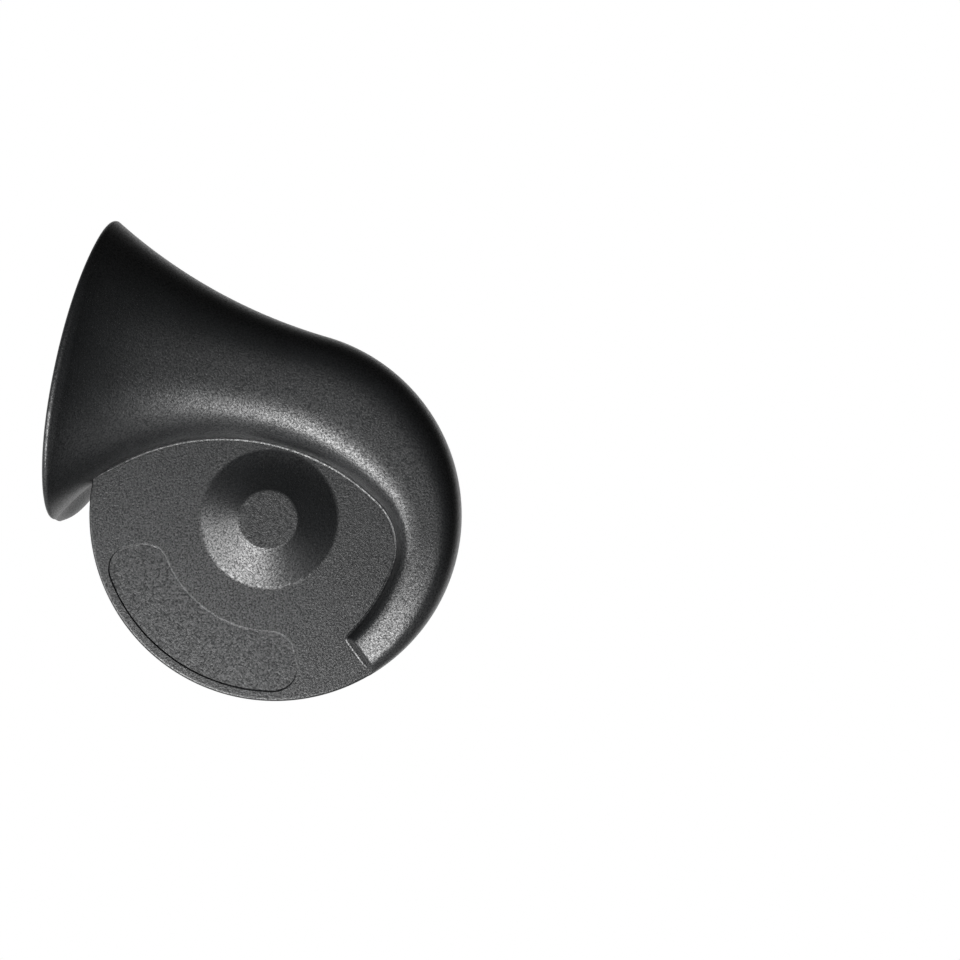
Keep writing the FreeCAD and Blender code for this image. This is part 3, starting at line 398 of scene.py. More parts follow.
def along(start, heading, arcs, distance):
    """Points and headings at given distances along arcs that follow one another.

    An arc is a radius and a sweep in degrees; a sweep of 0 makes the radius a straight's
    length.  After the last arc the line goes straight on.
    """
    x = np.full(distance.shape, start[0])
    z = np.full(distance.shape, start[1])
    turn = np.full(distance.shape, heading)
    left = distance
    for radius, sweep in arcs:
        if sweep == 0:
            step = np.clip(left, 0, radius)
            x, z, left = x + step * np.cos(turn), z + step * np.sin(turn), left - step
            continue
        sign = math.copysign(1, sweep)
        step = np.clip(left, 0, radius * abs(math.radians(sweep)))
        after = turn + sign * step / radius
        x = x + sign * radius * (np.sin(after) - np.sin(turn))
        z = z - sign * radius * (np.cos(after) - np.cos(turn))
        turn, left = after, left - step
    return np.stack([x + left * np.cos(turn), z + left * np.sin(turn)], -1), turn


def spiral(v):
    """The duct's inner and outer edges at the share v of its run, seen from the front.

    The outer edge's share leads by 0.8 v squared (1 - v), so that the sections fan out.
    """
    lead = np.where(v < 1, FAN * v * v * (1 - v), 0.0)
    run = [sum(r * abs(math.radians(a)) for r, a in arcs) for arcs in (INNER_ARCS, OUTER_ARCS)]
    begin = DISC + OUTER_ARCS[0][0] * np.array([math.cos(RIDGE_START), math.sin(RIDGE_START)])
    inner = along(INNER_START, INNER_HEADING, INNER_ARCS, v * run[0])[0]
    outer = along(begin, RIDGE_START + math.pi / 2, OUTER_ARCS, (v + lead) * run[1])[0]
    return inner, outer


def depth_at(v, side):
    """Depth of half the duct at the share v of its run.

    The front's crown climbs from the tail's depth to the ridge's by a parabola, and flares
    to the bell's with v^3.5.  The rear half's depth grows with ((v - 0.3) / 0.7)^1.2.
    """
    if side < 0:
        run = np.maximum(v, 0)
        climb = (RIDGE_DEPTH - TAIL_DEPTH) * np.maximum(1 - run / CLIMB_END, 0) ** 2
        return RIDGE_DEPTH - climb + (BELL_DEPTH - RIDGE_DEPTH) * run ** 3.5
    return REAR_DEPTH * np.maximum((v - REAR_START) / (1 - REAR_START), 0) ** 1.2


def duct(v, angle, side, inset=0.0):
    """Skin of half the duct at the share v and at an angle from the outer edge.

    Each section is a superellipse whose exponent falls from 4.6 at the boxy tail to
    2.3 at the round bell: the polar radius is (|cos|^p + |sin|^p)^(-1/p).  The front
    half leans back at the tail, and the rear half bulges behind the lower lip, by the
    window 4 s (1 - s) over the share s of the run's last stretch.
    """
    v, angle = np.broadcast_arrays(v, angle)
    inner, outer = spiral(v)
    half = np.linalg.norm(outer - inner, axis=-1) / 2
    middle = (inner + outer) / 2
    way = (outer - inner) / (2 * half)[..., None]
    share = np.clip(v, 0, 1)
    power = TAIL_POWER - (TAIL_POWER - BELL_POWER) * share
    c, s = np.cos(angle), np.maximum(np.sin(angle), 0.0)
    reach = (np.abs(c) ** power + s ** power) ** (-1 / power)
    across, rise = reach * c, reach * s
    down = np.maximum(depth_at(v, side) - inset, 0.02 * MM) * rise
    if side < 0:
        lean = TAIL_LEAN * (1 - share) ** 6 * (down - LEAN_FROM)
        middle = middle - lean[..., None] * aside(way)
    else:
        low = np.abs(across) ** power * rise ** (power / 2)
        last = np.maximum(share - BULGE_START, 0) / (1 - BULGE_START)
        across = across - np.where(c < 0, BULGE * low * 4 * last * (1 - last), 0.0)
    return at_depth(middle + ((half - inset) * across)[..., None] * way, side * down)


def mouth():
    """Centre of the wide cylinder that bows the mouth's rim."""
    low, tip = (edge[0] for edge in spiral(np.array([1.0])))
    back = math.sqrt(MOUTH_BOW ** 2 - np.sum((tip - low) ** 2) / 4)
    return (low + tip) / 2 + back * unit(aside(tip - low))


def mouth_share(angle, side, inset, short):
    """The share at which the skin reaches the bow less a margin, by halving intervals."""
    centre = mouth()
    low, high = np.full(angle.shape, 0.8), np.full(angle.shape, 1.2)
    for _ in range(40):
        guess = (low + high) / 2
        spot = duct(guess, angle, side, inset)[..., [0, 2]] - centre
        past = np.linalg.norm(spot, axis=-1) > MOUTH_BOW - short
        low, high = np.where(past, low, guess), np.where(past, guess, high)
    return (low + high) / 2


def lip(outside, inside, steps=11):
    """Rounded rim between two skins' ends: a half turn that bulges out of the mouth."""
    turn = np.linspace(0, np.pi, steps)[:, None, None]
    middle = (outside + inside) / 2
    away = unit(at_depth(middle[:, [0, 2]] - mouth(), 0.0))
    reach = np.linalg.norm(outside - inside, axis=1, keepdims=True) / 2
    return middle + np.cos(turn) * (outside - middle) + np.sin(turn) * reach * away


def tail_run():
    """Length of the run for a unit of share at the tail."""
    ends = [sum(spiral(np.array([v]))) / 2 for v in (0.0, 0.001)]
    return np.linalg.norm(ends[1] - ends[0]) / 0.001


def front_columns(v, around):
    """Angles of the columns: one at the seam, one just off it, and an even run between."""
    start = np.arcsin(np.clip(SEAM_STEP / depth_at(v, -1), 0, 1))
    even = np.linspace(0, 1, around)
    inner = start + (np.pi - 2 * start) * even
    edge = np.zeros(inner.shape[:-1] + (1,))
    return np.concatenate([edge, inner, edge + np.pi], -1)


def front_skin(inset, start, rows, around=97, short=0.0, groove=0.0):
    """Front half's skin from a share to the mouth, grooved along the seam."""
    edge = front_columns(np.array([[1.0]]), around)
    end = mouth_share(edge, -1, inset, short)
    share = start + (end - start) * np.linspace(0, 1, rows)[:, None]
    angle = front_columns(share[:, :1], around)
    extra = np.full(angle.shape, inset)
    extra[:, [0, -1]] += groove
    return duct(share, angle, -1, extra)


def build_front_duct(form, sizes):
    """Front half of the duct: a grid outside and one inside, joined at lip, tail and seam."""
    run = tail_run()
    wall, groove, round_off = sizes.wall, sizes.seam_groove, sizes.tail_round
    rim = wall / 2
    outside = front_skin(0.0, round_off / run, 170, short=rim, groove=groove)
    inside = front_skin(wall, wall / run, 150, short=rim)
    s, c = quarter(6)
    share = (round_off * c / run)[:, None]
    angle = front_columns(share, 97)
    inset = np.repeat((round_off * (1 - s))[:, None], angle.shape[1], 1)
    inset[:, [0, -1]] += groove
    tail = duct(share, angle, -1, inset)
    pole = (tail[0, 0] + tail[0, -1]) / 2
    closing = pole + (tail[0] - pole) * np.array([0.0, 0.5, 0.95])[:, None, None]
    outside = np.concatenate([closing, tail, outside[1:]])
    inner_pole = (inside[0, 0] + inside[0, -1]) / 2
    inside = np.concatenate([inner_pole + (inside[:1] - inner_pole) * np.array(
        [0.0, 0.5])[:, None, None], inside])
    close_shell(form, outside, inside)


def close_shell(form, outside, inside):
    """Joins an outer and an inner skin at the mouth, and fills the flat seam between them."""
    rim = lip(outside[-1], inside[-1])
    form.grid(outside)
    form.grid(rim)
    form.grid(inside)
    loop = np.vstack([outside[:, 0], rim[1:-1, 0], inside[::-1, 0],
                      inside[:, -1], rim[-2:0:-1, -1], outside[::-1, -1]])[:, [0, 2]]
    keep = np.linalg.norm(loop - np.roll(loop, 1, 0), axis=1) > 1e-6
    form.flat([loop[keep]], level(0.0))


def foot(height, rows=220):
    """Line on the ridge's inner side at a height over the seam, from the bell to the tail.

    At that height the superellipse gives the share across as (1 - (h / depth)^p)^(1/p).
    The line goes on round the tail's rounded corner and along its end.
    """
    v = np.linspace(0.92, 0, rows)
    inner, outer = spiral(v)
    half = np.linalg.norm(outer - inner, axis=1) / 2
    way = unit(outer - inner)
    power = TAIL_POWER - (TAIL_POWER - BELL_POWER) * v
    across = (1 - (height / depth_at(v, -1)) ** power) ** (1 / power)
    lean = (TAIL_LEAN * (1 - v) ** 6 * (height - LEAN_FROM))[:, None]
    line = (inner + outer) / 2 - lean * aside(way)
    reach = (half * across)[:, None] * way
    return line - reach, (line + reach)[-1], way


def rounded_tail(side, end, radius, steps=7):
    """The inner line, the rounded corner of the tail, and its end face, as one line."""
    kept = side[np.linalg.norm(side - side[-1], axis=1) > radius]
    stop = side[-1] + unit(end - side[-1]) * radius
    bend = bow(np.linspace(0, 1, steps)[:, None], kept[-1], side[-1], stop)
    face = stop + (end - stop) * np.linspace(0, 1, 24)[1:, None]
    return np.vstack([kept[:-1], bend, face])


def build_disc(form, sizes):
    """The disc: a flat face with a rounded rim, its boss and its recessed pad.

    Where the ridge stands on it, the disc's outline runs hidden inside the ridge's wall.
    """
    depth, wall, radius = sizes.disc_depth, sizes.wall, sizes.disc_radius
    side, end, way = foot(depth)
    buried = side + way * wall / 2
    inside = np.linalg.norm(buried - DISC, axis=1) < radius
    clear = np.linalg.norm(side - side[-1], axis=1) > wall / 2
    buried = buried[inside & clear]
    across = unit(end - side[-1])
    back = aside(across) * wall / 2
    back = back if np.dot(back, side[-12] - side[-1]) > 0 else -back
    reach = np.linspace(0, 1, 16)[1:, None] * (np.linalg.norm(end - side[-1]) - wall)
    line = side[-1] + back + across * (wall / 2 + reach)
    line = line[np.linalg.norm(line - DISC, axis=1) < radius - 0.1 * MM]
    a0 = math.atan2(*(line[-1] - DISC)[::-1])
    a1 = math.atan2(*(buried[0] - DISC)[::-1])
    sweep = (a0 - a1) % (2 * math.pi)
    turn = a0 - sweep * np.linspace(0, 1, int(sweep * radius / (0.5 * MM)))
    rim = DISC + radius * rays(turn)
    loop = np.vstack([rim, buried, line])[::-1]
    on_rim = np.concatenate([np.ones(len(rim), bool), np.zeros(len(buried) + len(line), bool)])[::-1]
    r = sizes.rim_round
    s, c = quarter(7)
    profile = [(-r - 0.25 * MM, -depth)] + list(zip(-r * (1 - s), -depth + r * c))
    profile += [(0, -depth + r + 0.2 * MM), (0, -0.25 * MM), (-sizes.seam_groove, 0),
                (-1.2 * MM, 0), (-1.2 * MM, wall - depth)]
    limit = np.where(on_rim, 0.0, wall - depth)
    ends = np.minimum(np.arange(len(rim)), np.arange(len(rim))[::-1]) * 0.5 * MM
    ease = np.concatenate([np.clip(ends / (3 * MM), 0.05, 1),
                           np.full(len(loop) - len(rim), 0.05)])[::-1, None]
    sheet = rings(loop, profile, limit, ease)
    form.grid(sheet, wrap=True)
    form.flat([sheet[-1][:, [0, 2]]], level(wall - depth))

    boss = softened([
        (sizes.boss_base + 1.0 * MM, -depth, 0),
        (sizes.boss_base + 0.7 * MM, -depth, 0),
        (sizes.boss_base, -depth, 0.5 * MM),
        (sizes.boss_top, -depth - sizes.boss_height, 0.35 * MM),
        (sizes.boss_top - 0.6 * MM, -depth - sizes.boss_height, 0),
        (sizes.boss_top / 2, -depth - sizes.boss_height, 0),
        (0, -depth - sizes.boss_height, 0)], 7)
    form.grid(lathe(boss), wrap=True)

    pad = pad_outline(radius - PAD_BORDER - sizes.pad_width / 2, sizes.pad_width / 2)
    drop = sizes.pad_recess
    pad_rings = rings(pad, [
        (0.32 * MM, -depth), (0.16 * MM, -depth), (0.09 * MM, -depth + 0.05 * drop),
        (0.03 * MM, -depth + 0.25 * drop), (-0.03 * MM, -depth + 0.75 * drop),
        (-0.09 * MM, -depth + 0.95 * drop), (-0.16 * MM, -depth + drop),
        (-0.32 * MM, -depth + drop)])
    form.grid(pad_rings, wrap=True)
    form.flat([pad_rings[-1][:, [0, 2]]], level(drop - depth))
    form.flat([sheet[0][:, [0, 2]], circle(boss[0, 0], steps=192), pad_rings[0][:, [0, 2]]],
              level(-depth))


def pad_outline(middle, half):
    """The pad's outline: a rounded rectangle bent round the disc's centre, 192 to 278 degrees."""
    reach = math.radians(PAD_REACH) * middle
    box = rounded_box(2 * reach, 2 * half, PAD_CORNER, steps=14)
    parts = []
    for start, stop in zip(box, np.roll(box, -1, 0)):
        pieces = max(int(np.linalg.norm(stop - start) / (0.8 * MM)), 2) - 1
        parts.append(start + (stop - start) * np.arange(pieces)[:, None] / pieces)
    flat = np.vstack(parts)
    angle = math.radians(PAD_MIDDLE) - flat[:, 0] / middle
    return DISC + (middle + flat[:, 1])[:, None] * rays(angle)


def build_foot(form, sizes):
    """Concave fillet where the ridge stands on the disc: a quadratic arc along the foot line."""
    depth, radius = sizes.disc_depth, sizes.foot_fillet
    line, upper = (rounded_tail(*foot(height)[:2], sizes.tail_round)
                   for height in (depth, depth + radius))
    count = min(len(line), len(upper))
    line, upper = line[-count:], upper[-count:]
    normal = aside(unit(np.gradient(line, axis=0)))
    centre = np.linalg.norm(line - DISC, axis=1)
    near = np.clip((sizes.disc_radius - sizes.rim_round - centre) / (3 * MM), 0, 1)[:, None]
    keep = centre < sizes.disc_radius - 0.3 * MM
    t = np.linspace(0, 1, 8)[:, None, None]
    flat = bow(t, line + normal * radius * near, line, line + (upper - line) * near)
    arc = at_depth(flat, -depth - radius * near[:, 0] * t[..., 0] ** 2)
    buried = at_depth(line - normal * 0.5 * MM, 0.6 * MM - depth)
    strip = np.concatenate([arc, buried[None]])[:, keep]
    form.grid(np.concatenate([strip, strip[:1]]))
    form.cap(strip[:, 0])
    form.cap(strip[:, -1])


def build_front(sizes):
    """The front moulding: half the duct, the disc, and the fillet between them."""
    form = Form()
    build_front_duct(form, sizes)
    build_disc(form, sizes)
    build_foot(form, sizes)
    return form.piece("trumpet_front")


# The trumpet's back

def room(y, grow):
    """Radius of the clear space round the driver: a cylinder, a cone and the cup's cylinder."""
    return np.interp(y, ROOM_DEPTHS, ROOM_RADII) + grow


def clamped(share, inset, grow, base, around=70, down=24):
    """Rear half's skin, cut where it would enter the driver's room, then down that room's wall.

    Each section is followed from its outer edge to the cut, found by halving, then
    down the wall, where the distance from the axis equals the room's radius, to the
    plate, and hidden inside the plate to the duct's inner edge.
    """
    def point(angle):
        """The free skin at an angle of every section."""
        return duct(share, angle, 1, inset)

    def enters(spot):
        """Whether points lie in the driver's room."""
        away = np.hypot(spot[..., 0], spot[..., 2])
        return (away < room(spot[..., 1], grow)) & (spot[..., 1] > base)

    fine = np.linspace(0, np.pi, 361)
    held = enters(duct(share, fine[None], 1, inset))
    cut = held.any(1)
    step = np.argmax(held, 1)
    low = np.where(cut, fine[np.maximum(step - 1, 0)], np.pi)[:, None]
    high = np.where(cut, fine[step], np.pi)[:, None]
    for _ in range(30):
        guess = (low + high) / 2
        inside = enters(point(guess))
        low, high = np.where(inside, low, guess), np.where(inside, guess, high)
    edge = np.where(cut[:, None], (low + high) / 2, np.pi)
    corner = point(edge)
    slope = np.linalg.norm(point(edge) - point(edge - 0.01), axis=-1) / 0.01
    soft = np.where(cut[:, None], ROOM_ROUND / np.maximum(slope, 1e-4), 0.0)
    soft = np.minimum(soft, edge * 0.4)
    seam = np.arcsin(SEAM_STEP / np.maximum(depth_at(share, 1), 1.05 * SEAM_STEP))
    seam = np.minimum(seam, edge * 0.2)
    angle = np.hstack([np.zeros_like(edge), seam + (edge - soft - seam) * np.linspace(0, 1, around)])
    skin = point(angle)

    inner, outer = spiral(share[:, 0])
    middle = (inner + outer) / 2
    way = unit(outer - inner)
    top = corner[:, 0, 1]
    start = np.maximum(top - ROOM_ROUND, np.minimum(top, base))
    y = start[:, None] + (np.minimum(base, start) - start)[:, None] * np.linspace(0, 1, down)
    dot = (middle * way).sum(1)[:, None]
    inside = dot ** 2 - (middle ** 2).sum(1)[:, None] + room(y, grow) ** 2
    reach = -dot + np.sqrt(np.maximum(inside, 0))
    wall = at_depth(middle[:, None] + reach[..., None] * way[:, None], y)
    last = point(np.full_like(edge, np.pi))
    wall = np.where(cut[:, None, None], wall, last)
    t = np.linspace(0, 1, 6)[1:-1, None]
    bend = np.where(cut[:, None, None], bow(t, skin[:, -1:], corner, wall[:, :1]), last)
    return np.concatenate([skin, bend, wall, last], 1)


def build_rear_duct(form, sizes):
    """Rear half of the bell, its wall clear of the driver, and the hollow inside it."""
    wall = sizes.wall
    rim = wall / 2
    full = np.linspace(0, np.pi, 70)[None]
    columns = np.hstack([[[0.0]], full, np.full((1, 29), np.pi)])

    def skin(inset, grow, base, start, rows):
        """The clamped skin from a share to the mouth, passing into the free duct there."""
        ends = mouth_share(columns, 1, inset, rim)
        steps = np.linspace(0, 1, rows)[:, None]
        body = clamped(start + (ends.mean() - start) * steps, inset, grow, base)
        free = duct(start + (ends - start) * steps, columns, 1, inset)
        blend = np.clip((steps - FREE_FROM) / (1 - FREE_FROM), 0, 1)[..., None]
        return body * (1 - blend) + free * blend

    outside = skin(0.0, 0.0, PLATE, REAR_OUTSIDE, 150)
    inside = skin(wall, ROOM_WALL, 0.0, REAR_INSIDE, 110)
    closed = [np.concatenate([np.repeat((part[:1, :1] + part[:1, -1:]) / 2, part.shape[1], 1),
                              part]) for part in (outside, inside)]
    close_shell(form, *closed)


def build_plate(form, sizes):
    """The round plate with its throat, and the seat that the driver is crimped on."""
    radius, groove = sizes.disc_radius, sizes.seam_groove
    ray = circle(1.0, steps=240)
    rows = []
    for share, extra, y in [
            (0, 0, 0), (0.5, 0, 0), (1, -groove - 0.3 * MM, 0), (1, -groove, 0), (1, 0, groove),
            (1, 0, PLATE - 0.4 * MM), (1, -0.06 * MM, PLATE - 0.2 * MM),
            (1, -0.2 * MM, PLATE - 0.06 * MM), (1, -0.4 * MM, PLATE),
            (1, -0.6 * MM, PLATE), (0.5, 0, PLATE), (0, 0, PLATE)]:
        outer = DISC + (radius + extra) * ray
        rows.append(at_depth(THROAT * ray + (outer - THROAT * ray) * share, y))
    rows.append(rows[0])
    form.grid(np.stack(rows), wrap=True)
    seat = np.array([(33.0, 2.0), (36.5, 2.0), (36.5, 5.0), (38.5, 5.0), (38.5, 8.0),
                     (33.0, 8.0), (33.0, 2.0)]) * MM
    form.grid(lathe(seat), wrap=True)


def build_rear(sizes):
    """The rear moulding: half the duct, the plate and the driver's seat."""
    form = Form()
    build_rear_duct(form, sizes)
    build_plate(form, sizes)
    return form.piece("trumpet_rear", sharp=50)


# The driver

def build_case(sizes):
    """The pressed steel case: a profile with rounded corners turned about the driver's axis."""
    r = sizes.corner / MM
    form = Form()
    profile = softened([
        (36.8, 4.1, 0.2), (36.8, 5.0, 0), (38.8, 5.0, 0), (38.8, 9.3, 0), (33.0, 9.3, 0),
        (33.0, 16.0, 0), (23.5, 16.0, 0), (23.5, 29.0, 0), (4.15, 29.0, 0), (4.15, 30.0, 0),
        (24.5, 30.0, 1.4 * r), (24.5, 17.0, r), (34.0, 17.0, 1.4 * r), (34.0, 10.3, r),
        (39.8, 10.3, 1.4 * r), (39.8, 4.1, 0.4)], 7) * MM
    form.grid(np.concatenate([lathe(profile), lathe(profile[:1])]), wrap=True)
    return form.piece("case_shell", sharp=45)


def threaded(low, high, radius, pitch, steps=72):
    """Rod with a single thread: the radius falls with a triangle wave of y / pitch - turn."""
    rows = int((high - low) / pitch * 10)
    y = np.linspace(low, high, rows)[:, None]
    turn = np.linspace(0, 1, steps, endpoint=False)[None]
    wave = np.abs(2 * ((y / pitch - turn) % 1) - 1)
    fade = np.clip(np.minimum(y - low, high - y) / pitch, 0, 1)
    reach = radius - 0.5 * pitch * wave * fade
    return at_depth(reach[..., None] * rays(2 * np.pi * turn), y)


def build_stud(sizes):
    """Core and stud in one turning, with the stud's thread as a helical wave of its radius."""
    form = Form()
    head = lathe(np.array([(0, 22), (7.4, 22), (7.85, 22.15), (8, 22.6), (8, 28.9), (7.9, 29),
                           (4.1, 29), (4, 29.2)]) * MM, steps=72)
    thread = threaded(30.2 * MM, 41.3 * MM, 4 * MM, sizes.thread_pitch)
    tip = lathe(np.array([(3.2, 42), (2.9, 42), (1.5, 42), (0, 42)]) * MM, steps=72)
    form.grid(np.concatenate([head, thread, tip]), wrap=True)
    return form.piece("stud_turning", sharp=40)


def build_nut(name, flats, low, high, bore, spot=(0.0, 0.0)):
    """Hexagon nut: at each depth the radius is the lesser of the hexagon and a 30 degree cone."""
    form = Form()
    angle = np.linspace(0, 2 * np.pi, 180, endpoint=False)
    hexagon = flats / 2 / np.cos((angle + np.pi / 6) % (np.pi / 3) - np.pi / 6)
    rise = np.linspace(0, 0.6 * MM * flats / (13 * MM), 9)
    cone = flats / 2 + rise / math.tan(math.radians(30))
    lead = 0.12 * bore
    rows = [(bore, low + lead), (bore + lead, low), (flats / 2 - 0.3 * lead, low)]
    side = [(np.minimum(hexagon, reach), low + y) for reach, y in zip(cone, rise)]
    side += [(np.minimum(hexagon, reach), high - y) for reach, y in zip(cone[::-1], rise[::-1])]
    rows += side + [(flats / 2 - 0.3 * lead, high), (bore + lead, high), (bore, high - lead)]
    rows.append(rows[0])
    form.grid(np.stack([at_depth(np.expand_dims(reach, -1) * rays(angle) + spot, y)
                        for reach, y in rows]), wrap=True)
    return form.piece(name, sharp=22)


def build_washer():
    """Split spring washer: a rounded square section carried round 346 degrees."""
    form = Form()
    section = softened([(4.2, 32.5, 0.3), (4.2, 34.5, 0.3), (7.4, 34.5, 0.5), (7.4, 32.5, 0.5)]) * MM
    angle = np.radians(np.linspace(97, 443, 140))[:, None]
    ring = at_depth(section[:, 0, None] * rays(angle), section[:, 1])
    form.grid(ring, wrap=True)
    form.cap(ring[0])
    form.cap(ring[-1])
    return form.piece("split_washer", sharp=40)


def build_bracket(sizes):
    """The joggled strip: a round-ended blank with two holes, carried along its bent middle line."""
    half, bend, thick, hole = 9 * MM, 3 * MM, 2.5 * MM, 4.25 * MM
    foot_run, slope_run, head_run = 20.775 * MM, 11.657 * MM, 9.739 * MM
    path = ((foot_run, 0), (bend, 45), (slope_run, 0), (bend, -45), (30 * MM, 0))
    far = foot_run + slope_run + 2 * bend * math.radians(45) + head_run

    def bent(points):
        """Lays the blank's points along the bent middle line."""
        middle, turn = along((-9 * MM, 31.25 * MM), 0.0, path, points[..., 2])
        h = points[..., 1]
        return np.stack([points[..., 0], middle[..., 1] + h * np.cos(turn),
                         middle[..., 0] - h * np.sin(turn)], -1)

    count = 96
    run = np.linspace(half, far, count)
    sweep = np.linspace(0, np.pi, 48)[1:-1]
    cap = half * rays(sweep)
    side = np.stack([np.full(count, half), run], -1)
    outline = np.vstack([side, cap + (0, far), (side * (-1, 1))[::-1], -cap + (0, half)])
    right = np.arange(count)[(run > half + 5.5 * MM) & (run < far - 5.5 * MM)]
    ties = np.stack([right, count + len(cap) + count - 1 - right], -1)
    form = Form()
    holes = [circle(hole, (0, half), 72), circle(hole, (0, far), 72)]
    plate(form, outline, holes, -thick / 2, thick / 2, sizes.edge, bent, ties)
    return form.piece("joggled_strip", sharp=40)


TERMINAL = np.array([20.5, -20.5]) * MM


def slanted(points):
    """Turns the terminal's own x (across) and z (radial) by -45 degrees about y, and moves it out."""
    x, z = points[..., 0], points[..., 2]
    return at_depth(TERMINAL + math.sqrt(0.5) * np.stack([x - z, x + z], -1), points[..., 1])


def build_terminal_block():
    """Moulded block that holds the blades: a rounded outline raised from the shelf."""
    form = Form()
    plate(form, rounded_box(15 * MM, 7.4 * MM, 0.9 * MM), [], 17 * MM, 26 * MM, 0.35 * MM, slanted)
    for x in (-4.5 * MM, 4.5 * MM):
        plate(form, rounded_box(1.9 * MM, 7.3 * MM, 0.6 * MM, (x, 0)), [], 25 * MM, 26.6 * MM,
              0.25 * MM, slanted)
    return form.piece("terminal_block", sharp=40)


def build_blade(name, x):
    """Push-on blade: a chamfered outline with its hole, as thick as the strip it is cut from."""
    form = Form()
    outline = softened([(-3.15, 18.5, 0), (3.15, 18.5, 0), (3.15, 33.3, 0.3), (1.95, 34.5, 0.3),
                        (-1.95, 34.5, 0.3), (-3.15, 33.3, 0.3)], 4) * MM

    def upright(points):
        """Stands the blade's flat outline up at its place on the block."""
        return slanted(np.stack([x + points[..., 1], points[..., 2], -points[..., 0]], -1))

    plate(form, outline, [circle(0.9 * MM, (0, 30.25 * MM), 40)], -0.4 * MM, 0.4 * MM,
          0.12 * MM, upright)
    return form.piece(name, sharp=40)


def build_rivet(name, spot, low, seat_low, seat_high, high, shank, head):
    """Rivet with a domed head at each end: a turned profile."""
    form = Form()
    t = np.linspace(0, np.pi / 2, 8)
    out, rise = head * np.sin(t), 0.25 + 0.75 * np.cos(t)
    first = np.stack([out, seat_low - (seat_low - low) * rise], -1)
    last = np.stack([out, seat_high + (high - seat_high) * rise], -1)
    profile = np.vstack([first, [(head, seat_low), (shank, seat_low), (shank, seat_high),
                                 (head, seat_high)], last[::-1]])
    form.grid(lathe(profile, spot, 64), wrap=True)
    return form.piece(name, sharp=50)


ADJUSTER = (0.0, -28.2 * MM)


def build_adjuster():
    """Adjusting screw: a threaded rod whose end is split by a slot into two half rounds."""
    form = Form()
    rod = threaded(13.0 * MM, 21.0 * MM, 1.75 * MM, 0.5 * MM, 48)
    start = lathe(np.array([(0, 12.8), (1.6, 12.8)]) * MM, steps=48)
    end = lathe(np.array([(1.72, 21.1), (0, 21.12)]) * MM, steps=48)
    form.grid(np.concatenate([start, rod, end]) + (ADJUSTER[0], 0, ADJUSTER[1]), wrap=True)
    radius, half = 1.72 * MM, 0.35 * MM
    low = math.asin(half / radius)
    turn = np.linspace(low, np.pi - low, 30)
    crown = radius * rays(turn)
    for sign in (1, -1):
        plate(form, crown * sign + ADJUSTER, [], 21.0 * MM, 22 * MM, 0.04 * MM, lambda p: p)
    return form.piece("adjuster_screw", sharp=40)


# Materials

def add(tree, kind, sockets=None, into=None, **settings):
    """Adds a node, sets its properties and inputs, and links it into another node's input.

    An input takes a plain value, a socket, or a node, whose first live output is meant.
    A Mix node's inputs go by number, as some share a name: 0 is the factor, 2 and 3 are
    the plain values, and 6 and 7 the colours.
    """
    def source(node):
        """The first of a node's outputs that is in use."""
        return next(socket for socket in node.outputs if socket.enabled)

    made = tree.nodes.new("ShaderNode" + kind)
    for name, value in settings.items():
        setattr(made, name, value)
    for name, value in (sockets or {}).items():
        value = source(value) if isinstance(value, bpy.types.Node) else value
        if isinstance(value, bpy.types.NodeSocket):
            tree.links.new(value, made.inputs[name])
        else:
            made.inputs[name].default_value = value
    if into:
        tree.links.new(source(made), into)
    return made


def begin(name, **values):
    """A material with its shader's plain inputs set; also its add, those inputs and its place."""
    material = bpy.data.materials.new(name)
    material.use_nodes = True
    tree = material.node_tree
    inputs = tree.nodes["Principled BSDF"].inputs
    for socket, value in values.items():
        inputs[socket.replace("_", " ")].default_value = value
    return material, partial(add, tree), inputs, add(tree, "TexCoord").outputs["Object"]


def shaded(colour, factors):
    """A linear colour times a factor, or times one for each channel, and at most 1."""
    return (*np.minimum(np.array(colour[:3]) * factors, 1.0).tolist(), 1.0)


def moulded_abs(colours):
    """Black ABS, injection moulded in a spark-eroded tool: a fine even grain that breaks a
    broad, soft highlight into a shimmer, over a nearly black body."""
    material, put, inputs, place = begin("moulded_abs", IOR=1.54)
    # the grain's bumps are 0.2 mm across; drawn at 0.45 mm, two pixels of the view, to show
    grain = put("TexNoise", {"Vector": place, "Scale": 2300.0, "Detail": 3.0, "Roughness": 0.6})
    cloud = put("TexNoise", {"Vector": place, "Scale": 120.0, "Detail": 2.0})
    tone = put("MapRange", {"Value": cloud, "From Min": 0.3, "From Max": 0.7})
    put("Mix", {0: tone, 6: colours.plastic, 7: shaded(colours.plastic, 1.35)},
        inputs["Base Color"], data_type="RGBA")
    put("MapRange", {"Value": grain, "From Min": 0.3, "From Max": 0.7, "To Min": 0.42,
                     "To Max": 0.30}, inputs["Roughness"])
    # the pits between the bumps hide part of each highlight, so the reflection is broken too
    put("MapRange", {"Value": grain, "From Min": 0.35, "From Max": 0.65, "To Min": 0.25,
                     "To Max": 1.2}, inputs["Specular IOR Level"])
    put("Bump", {"Height": grain, "Distance": 0.00007}, inputs["Normal"])
    return material


